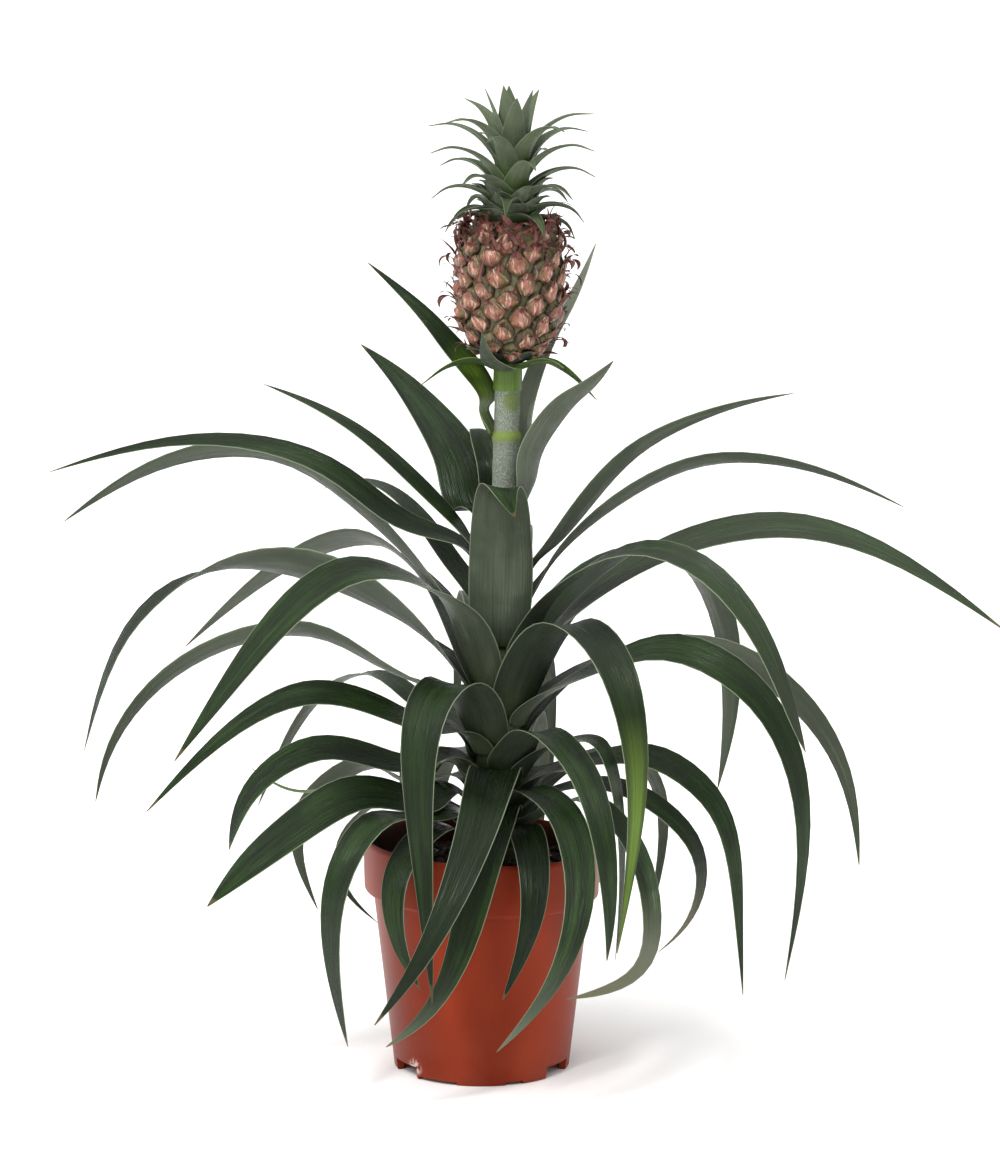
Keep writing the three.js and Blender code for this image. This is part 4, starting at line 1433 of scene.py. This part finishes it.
    def ribbon(
        self,
        bm: BMesh,
        chance: random.Random,
        share: float,
        turn: float,
        length: float,
        broad: float,
    ) -> None:
        """Models one dry point, curled and twisted.

        Args:
            bm: Mesh that it is added to.
            chance: Source of its curl.
            share: Share of the fruit's height at its root.
            turn: Compass direction of its root in radians.
            length: Its length.
            broad: Half its width at its root.
        """
        near_crown = smoothstep(share, 0.72, 1.0)
        bend = chance.uniform(0.8, 3.4) * chance.choice((1.0, 1.0, 0.7, -0.5))
        sway = chance.uniform(-2.0, 2.0)
        twist = chance.uniform(-3.0, 3.0)
        start = chance.uniform(0.15, 0.7) + 0.25 * near_crown
        to_skin = self.eye_frame(share, turn)
        path = [Vector((0.0, 1.8, self.dome(0.0, 1.8) + 0.5))]
        for k in range(1, 9):
            tilt = start + bend * (k / 8.0) ** 1.3
            step = Vector((math.sin(sway * k / 8.0), math.cos(tilt), math.sin(tilt) * 0.9))
            path.append(path[-1] + step.normalized() * (length / 8.0))

        def place(across: float, along: float, side: float) -> Vector:
            """Puts a point of the dry ribbon along its curl."""
            roll = twist * along
            offset = (2.0 * across - 1.0) * broad * (1.0 - 0.86 * along**1.3)
            across_way = Vector((math.cos(roll), 0.25 * math.sin(roll), math.sin(roll)))
            thick = Vector((-math.sin(roll), 0.0, math.cos(roll))) * (0.15 * side)
            cup = Vector((0.0, 0.0, 0.45 * (2.0 * across - 1.0) ** 2 * (1.0 - along)))
            return to_skin @ (spline(path, along) + across_way * offset + thick + cup)

        add_blade(bm, 2, 9, place, (chance.random(), 0.0, 0.0, 1.0), "eye")

    def points(self) -> BMesh:
        """Models the dry points: one on every scale and a dense frill round the crown's foot.

        Returns:
            The mesh.
        """
        bm = bmesh.new()
        chance = random.Random(self.seed + 2)
        for eye, share in enumerate(self.even_shares()):
            near_crown = smoothstep(share, 0.72, 1.0)
            extra = 5.0 * (chance.random() < 0.45)
            length = lerp(5.0, 8.0, near_crown) * chance.uniform(0.8, 1.2) + extra
            self.ribbon(bm, chance, share, eye * GOLDEN_ANGLE, length, chance.uniform(0.8, 1.7))
            for _ in range(2):
                turn = eye * GOLDEN_ANGLE + chance.uniform(-0.14, 0.14)
                self.ribbon(bm, chance, share, turn, chance.uniform(3.0, 6.5), chance.uniform(0.4, 0.8))
        for k in range(self.frill):
            share = chance.uniform(0.78, 0.985)
            turn = k * GOLDEN_ANGLE + chance.uniform(-0.1, 0.1)
            self.ribbon(bm, chance, share, turn, chance.uniform(4.0, 9.5), chance.uniform(0.7, 1.7))
        for k in range(self.broad_points):
            turn = k * math.tau / self.broad_points + chance.uniform(-0.05, 0.05)
            self.ribbon(bm, chance, chance.uniform(0.9, 0.99), turn, chance.uniform(4.0, 8.0), 2.1)
        for share, turn, length in self.long_points:
            for spread in (-6.0, 2.0, 9.0):
                reach = length * chance.uniform(0.7, 1.0)
                self.ribbon(bm, chance, share, math.radians(turn + spread), reach, 1.9)
        bmesh.ops.recalc_face_normals(bm, faces=bm.faces)
        return bm

    def build(self) -> None:
        """Models the fruit's flesh, scales and dry points."""
        pieces = (
            (self.flesh(), "fruit_flesh", SEPAL_FINISH, 0),
            (self.scales(), "fruit_scales", SCALE_FINISH, 1),
            (self.points(), "fruit_dry_points", POINT_FINISH, 1),
        )
        for bm, name, finish, fine in pieces:
            finish_piece(bm, name, finish.make(), Slot.FRUIT, ["fruit"], fine, plant_matrix())


# ---------------------------------------------------------------- crown
@dataclass
class Crown:
    """Crown of small leaves with thin tips that curl back."""

    foot: float = 322.2
    height: float = 26.0
    radius: float = 8.4
    leaves: int = 34
    foot_scales: int = 16
    seed: int = 21

    def leaf(self, order: int) -> CurvedBlade:
        """Gives the blade of one crown leaf.

        Args:
            order: Its place from the lowest up.

        Returns:
            The blade.
        """
        share = order / (self.leaves - 1)
        inner = smoothstep(share, 0.74, 0.95)
        length = lerp(20.0, 36.0, smoothstep(share, 0.0, 0.75)) * lerp(1.0, 0.66, inner)
        lift = math.radians(lerp(25.0, 72.0, smoothstep(share, -0.1, 0.7)) + 5.0 * inner)
        droop = math.radians(lerp(84.0, 76.0, share) * (1.0 - inner))
        centre = Vector((self.radius * lerp(1.0, 0.45, share) - 1.8, 0.0, self.foot + self.height * share))
        centres = [centre]
        for k in range(1, 5):
            tilt = lift - droop * (k / 4.0) ** 1.6
            centre = centre + Vector((math.cos(tilt), 0.0, math.sin(tilt))) * ((length + 3.0) / 4.0)
            centres.append(centre)
        turn = math.degrees(order * GOLDEN_ANGLE + 0.4)
        width = lerp(13.0, 12.0, smoothstep(share, 0.0, 0.4))
        taper = lerp(0.95, 1.7, share**2) + 0.5 * inner
        curl = lerp(0.62, 0.85, inner) * width
        return CurvedBlade(centres, width, taper, tip=0.12, curl=curl, edge=0.3, middle=0.9, turn=turn)

    def foot_scale(self, order: int) -> CurvedBlade:
        """Gives the blade of one short broad leaf that hugs the crown's foot.

        Args:
            order: Its place from the lowest up.

        Returns:
            The blade.
        """
        share = order / (self.foot_scales - 1)
        low = self.foot + 0.4 + 8.0 * share
        steps = ((6.6, 0.0), (9.2, 2.4), (11.4, 5.2), (13.6, 7.2), (16.4, 7.8))
        centres = [
            Vector((radius - 0.8 * share, 0.0, low + height * lerp(0.7, 1.2, share)))
            for radius, height in steps
        ]
        turn = math.degrees(order * GOLDEN_ANGLE + 1.6)
        return CurvedBlade(centres, 14.0, taper=1.3, tip=0.1, curl=8.4, edge=0.3, middle=0.8, turn=turn)

    def build(self) -> None:
        """Models the core and all leaves of the crown."""
        bm = bmesh.new()
        marks = bm.verts.layers.float_color.new("leaf")
        core = [(0.0, -0.4), (7.9, -0.4), (7.6, 8.0), (6.3, 15.6), (2.94, 26.0), (0.0, 29.0)]
        turned(bm, [(radius, self.foot + height) for radius, height in core], 24)
        chart = bm.loops.layers.uv.new("blade")
        for vert in bm.verts:
            vert[marks] = (0.5, 0.0, 0.0, 0.0)
        for face in bm.faces:
            for loop in face.loops:
                loop[chart].uv = (0.6, 0.5)
        chance = random.Random(self.seed)
        for order in range(self.foot_scales):
            mark = (chance.random(), 0.0, 0.0, 0.0)
            add_blade(bm, 6, 8, self.foot_scale(order).point, mark)
        for order in range(self.leaves):
            share = order / (self.leaves - 1)
            mark = (chance.random(), share, 0.1 * chance.random(), 0.0)
            add_blade(bm, 6, 12, self.leaf(order).point, mark)
        bmesh.ops.recalc_face_normals(bm, faces=bm.faces)
        finish_piece(bm, "crown_leaves", CROWN_FINISH.make(), Slot.CROWN, ["crown"], 1, plant_matrix())


# ---------------------------------------------------------------- rosette
@dataclass(frozen=True)
class LeafTone:
    """What sets one leaf's colour apart: pale bloom above 0 and painted shade below 0 on one scale from -1
    to 1, a lime stripe and dryness from 0 to 1.
    """

    bloom_and_shade: float = 0.0
    bloom_and_shade_from: float = -1.0
    lime: float = 0.0
    lime_from: float = 0.0
    lime_to: float = 2.0
    dry: float = 0.0
    dry_from: float = 0.0

    def at(self, share: float) -> tuple[float, float, float]:
        """Gives the bloom and painted shade, the lime and the dryness at a share of the leaf's length.

        Args:
            share: Place along the leaf from its root to its tip.

        Returns:
            The three numbers.
        """
        lime = self.lime * smoothstep(share, self.lime_from - 0.25, self.lime_from)
        lime *= 1.0 - smoothstep(share, self.lime_to - 0.12, self.lime_to)
        dry = self.dry * smoothstep(share, self.dry_from - 0.2, self.dry_from)
        bloom_and_shade = self.bloom_and_shade * smoothstep(share, self.bloom_and_shade_from - 0.12, self.bloom_and_shade_from)
        return bloom_and_shade, lime, dry


# Leaves with a tone of their own: pale bloom, painted shade where it is below 0, a lime stripe and dryness.
TONES = {
    3: LeafTone(bloom_and_shade=-0.9),
    5: LeafTone(bloom_and_shade=0.45, bloom_and_shade_from=0.7, dry=0.3, dry_from=0.85),
    7: LeafTone(bloom_and_shade=0.45, bloom_and_shade_from=0.9),
    9: LeafTone(dry=0.6, dry_from=0.92),
    10: LeafTone(bloom_and_shade=-0.3),
    12: LeafTone(bloom_and_shade=0.5, bloom_and_shade_from=0.88),
    14: LeafTone(lime=1.0),
    17: LeafTone(bloom_and_shade=-1.0),
    18: LeafTone(bloom_and_shade=-0.3),
    24: LeafTone(bloom_and_shade=-0.5),
    30: LeafTone(bloom_and_shade=-0.7, lime=0.95, lime_from=0.76),
    31: LeafTone(bloom_and_shade=-0.8, bloom_and_shade_from=0.62),
    33: LeafTone(bloom_and_shade=0.2),
    35: LeafTone(bloom_and_shade=0.2),
    38: LeafTone(bloom_and_shade=0.15),
    39: LeafTone(bloom_and_shade=-0.2),
    46: LeafTone(bloom_and_shade=-0.5),
    48: LeafTone(bloom_and_shade=0.3),
    49: LeafTone(bloom_and_shade=1.0),
    50: LeafTone(lime=0.9, lime_to=0.4),
}


@dataclass
class RosetteLeaf:
    """One long arching leaf, refined from its solid so that it keeps its place and form."""

    number: int
    tone: LeafTone
    row: int = 4
    margin_left: float = 0.5
    tip_left: float = 0.3
    tip_reach: float = 2.4
    passes: int = 8
    margin_crease: float = 0.85
    rings: list[list[BMVert]] = field(default_factory=list)

    @property
    def node(self) -> str:
        """Name of the CAD node that this leaf stands for."""
        return f"leaf_{self.number:02d}"

    def layers(self, bm: BMesh) -> list[set[BMVert]]:
        """Sorts the points into rings, from the tip to the root.

        Args:
            bm: The merged copy of the solid.

        Returns:
            The points of every ring.
        """
        tip = min(bm.faces, key=lambda face: face.calc_area()).calc_center_median()
        layer = {vert for vert in bm.verts if (vert.co - tip).length < self.tip_reach}
        found, seen = [], set()
        while layer:
            found.append(layer)
            seen |= layer
            layer = {edge.other_vert(vert) for vert in layer for edge in vert.link_edges} - seen
        return found

    @staticmethod
    def walk(layer: set[BMVert]) -> list[BMVert]:
        """Puts the points of a ring in order round the blade.

        Args:
            layer: The ring's points.

        Returns:
            The points in order.
        """
        order = [next(iter(sorted(layer, key=lambda vert: vert.index)))]
        while len(order) < len(layer):
            for edge in order[-1].link_edges:
                other = edge.other_vert(order[-1])
                outside = any(vert not in layer for face in edge.link_faces for vert in face.verts)
                if other in layer and other not in order and outside:
                    order.append(other)
                    break
        return order

    @staticmethod
    def match(before: list[BMVert], ring: list[BMVert]) -> list[BMVert]:
        """Turns a ring so that its points face those of the ring before it.

        Args:
            before: The ring before it.
            ring: The ring to turn.

        Returns:
            The ring in the same order as the one before it.
        """
        size = len(ring)
        choices = []
        for way in (1, -1):
            for start in range(size):
                turned_ring = [ring[(start + way * k) % size] for k in range(size)]
                pairs = list(zip(before, turned_ring))
                joined = all(any(a in edge.verts for edge in b.link_edges) for a, b in pairs)
                if joined:
                    choices.append((sum((a.co - b.co).length for a, b in pairs), start * way, turned_ring))
        return min(choices)[2]

    def read(self, bm: BMesh, axis: Callable[[float], Vector]) -> None:
        """Reads the rings from root to tip, each the upper row and then the under row back.

        Args:
            bm: The merged copy of the solid.
            axis: Gives the stem's axis at a height.
        """
        rings = [self.walk(layer) for layer in reversed(self.layers(bm))]
        for k in range(1, len(rings)):
            rings[k] = self.match(rings[k - 1], rings[k])
        root, size = rings[0], 2 * self.row

        def thickness(shift: int) -> float:
            """Length of the two edges that would join the rows."""
            left = (root[(shift - 1) % size].co - root[shift].co).length
            right = (root[(shift + self.row - 1) % size].co - root[(shift + self.row) % size].co).length
            return left + right

        def reach(shift: int) -> float:
            """Distance from the stem's axis of the row that would be the upper one."""
            row = [root[(shift + k) % size] for k in range(1, self.row - 1)]
            return sum((vert.co - axis(vert.co.z)).length for vert in row)

        shift = min(range(self.row), key=thickness)
        shift = min((shift, shift + self.row), key=reach)
        self.rings = [[ring[(shift + k) % size] for k in range(size)] for ring in rings]

    def make_quads(self, bm: BMesh) -> None:
        """Dissolves the diagonals, so that only rings and lengthwise lines are left.

        Args:
            bm: The merged copy of the solid.
        """
        size = 2 * self.row
        keep = set()
        for ring in self.rings:
            keep |= {frozenset((ring[k], ring[(k + 1) % size])) for k in range(size)}
        for ring, after in zip(self.rings, self.rings[1:]):
            keep |= {frozenset(pair) for pair in zip(ring, after)}
        spare = [edge for edge in bm.edges if frozenset(edge.verts) not in keep]
        bmesh.ops.dissolve_edges(bm, edges=spare, use_verts=False)
        for ring in (self.rings[0], self.rings[-1]):
            for k in range(1, self.row - 1):
                bmesh.ops.connect_verts(bm, verts=[ring[k], ring[size - 1 - k]])

    def refine(self) -> None:
        """Thins the margins, points the tip and lets the smooth skin pass through the rings."""
        for ring in self.rings:
            for upper, under in ((0, 2 * self.row - 1), (self.row - 1, self.row)):
                middle = (ring[upper].co + ring[under].co) / 2.0
                for vert in (ring[upper], ring[under]):
                    vert.co = middle + (vert.co - middle) * self.margin_left
        last = self.rings[-1]
        centre = sum((vert.co for vert in last), Vector()) / len(last)
        for vert in last:
            vert.co = centre + (vert.co - centre) * self.tip_left
        for k in range(2 * self.row):
            column = [ring[k] for ring in self.rings]
            wanted = [vert.co.copy() for vert in column]
            for _ in range(self.passes):
                now = [vert.co.copy() for vert in column]
                for i in range(1, len(column) - 1):
                    smooth = (now[i - 1] + 4.0 * now[i] + now[i + 1]) / 6.0
                    column[i].co = now[i] + (wanted[i] - smooth)

    def chart(self, bm: BMesh) -> None:
        """Lays the blade map and keeps the leaf's tone on its points.

        Args:
            bm: The refined leaf.
        """
        size = 2 * self.row
        centres = [sum((vert.co for vert in ring), Vector()) / size for ring in self.rings]
        run = [0.0]
        for a, b in zip(centres, centres[1:]):
            run.append(run[-1] + (b - a).length)
        spot = {vert: (i, k) for i, ring in enumerate(self.rings) for k, vert in enumerate(ring)}
        uv = bm.loops.layers.uv["blade"]
        marks = bm.verts.layers.float_color["leaf"]
        crease = bm.edges.layers.float["crease_edge"]
        for face in bm.faces:
            under = all(spot[vert][1] >= self.row for vert in face.verts)
            for loop in face.loops:
                i, k = spot[loop.vert]
                column = k if k < self.row else size - 1 - k
                loop[uv].uv = (run[i] / run[-1], column / (self.row - 1) + (2.0 if under else 0.0))
        seed = (self.number * 0.618034) % 1.0
        for vert in bm.verts:
            vert[marks] = (seed, *self.tone.at(run[spot[vert][0]] / run[-1]))
        for edge in bm.edges:
            columns = {spot[vert][1] for vert in edge.verts}
            if len(columns) == 1 and columns & {0, self.row - 1, self.row, size - 1}:
                edge[crease] = self.margin_crease

    def build(self, material: Material, axis: Callable[[float], Vector]) -> None:
        """Models the leaf.

        Args:
            material: The leaf's finish.
            axis: Gives the stem's axis at a height.
        """
        bm = bmesh.new()
        bm.from_mesh(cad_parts[self.node].data)
        bmesh.ops.transform(bm, matrix=Matrix.Scale(1.0 / MM, 4), verts=bm.verts)
        bmesh.ops.remove_doubles(bm, verts=bm.verts, dist=0.02)
        for layer in list(bm.loops.layers.uv.values()):
            bm.loops.layers.uv.remove(layer)
        bm.loops.layers.uv.new("blade")
        bm.verts.layers.float_color.new("leaf")
        bm.edges.layers.float.new("crease_edge")
        bm.verts.index_update()
        self.read(bm, axis)
        self.make_quads(bm)
        self.refine()
        self.chart(bm)
        finish_piece(bm, f"blade_{self.number:02d}", material, Slot.LEAF, [self.node], fine=2)


@dataclass
class Rosette:
    """All long leaves round the stem."""

    count: int = 50

    @staticmethod
    def stem_axis(height: float) -> Vector:
        """Place of the stem's axis at a height of the frame."""
        return plant_matrix() @ Vector((0.0, 0.0, height))

    def build(self) -> None:
        """Models every leaf with its own tone."""
        material = bpy.data.materials.get(ROSETTE_FINISH.name) or ROSETTE_FINISH.make()
        for number in range(1, self.count + 1):
            RosetteLeaf(number, TONES.get(number, LeafTone())).build(material, self.stem_axis)


# ---------------------------------------------------------------- studio
@dataclass(frozen=True)
class Studio:
    """Pale floor, soft lights and the camera at the photograph's angle."""

    lens: float = 136.85
    pitch: float = 9.75
    sky: float = 0.72
    sun: float = 3.1
    sun_spread: float = 85.0
    key: float = 14.0
    key_size: float = 0.25
    aim: Place = (0.0, 0.0, 0.19)
    eye: Place = (-0.0088, -1.6503, 0.470)

    def floor(self) -> None:
        """Lays a plain round floor."""
        bm = bmesh.new()
        bmesh.ops.create_circle(bm, cap_ends=True, cap_tris=True, segments=96, radius=30.0)
        mesh = mesh_of(bm, "floor")
        bm.free()
        mesh.materials.append(PaleFloor().make())
        ground = show("floor", mesh)

    def light(self, name: str, power: float, size: float, at: Place) -> None:
        """Hangs one soft light that points at the plant.

        Args:
            name: Name of the light.
            power: Its power in watts, or in watts per square metre for a wide even light.
            size: Its side in metres, or 0 for a wide even light.
            at: Its place.
        """
        if size > 0.0:
            lamp = bpy.data.lights.new(name, "AREA")
            lamp.shape = "SQUARE"
            lamp.size = size
        else:
            lamp = bpy.data.lights.new(name, "SUN")
            lamp.angle = math.radians(self.sun_spread)
        lamp.energy = power
        holder = show(name, lamp)
        holder.location = at
        towards = Vector(self.aim) - Vector(at)
        holder.rotation_euler = towards.to_track_quat("-Z", "Y").to_euler()

    def build(self) -> None:
        """Sets the floor, the lights, the sky and the camera."""
        self.floor()
        self.light("even", self.sun, 0.0, (-0.5, -0.7, 2.2))
        self.light("key", self.key, self.key_size, (-0.6, -1.2, 1.5))
        world = bpy.data.worlds.new("studio")
        world.use_nodes = True
        sky = world.node_tree.nodes["Background"]
        sky.inputs["Color"].default_value = (1.0, 1.0, 1.0, 1.0)
        sky.inputs["Strength"].default_value = self.sky
        bpy.context.scene.world = world
        bpy.context.scene.view_settings.view_transform = "Standard"
        camera = bpy.data.cameras.new("camera")
        camera.lens = self.lens
        camera.sensor_width = 36.0
        camera.clip_end = 100.0
        holder = show("camera", camera)
        holder.location = self.eye
        holder.rotation_euler = (math.radians(90.0 - self.pitch), 0.0, 0.0)
        bpy.context.scene.camera = holder


def main() -> None:
    """Builds every sub-assembly and then the studio."""
    logging.basicConfig(level=logging.INFO, format="%(name)s: %(message)s")
    for part in (NurseryPot(), Soil(), StemAndStalk(), Fruit(), Crown(), Rosette(), Studio()):
        LOG.info("building %s", type(part).__name__)
        part.build()


if __name__ == "__main__":
    main()
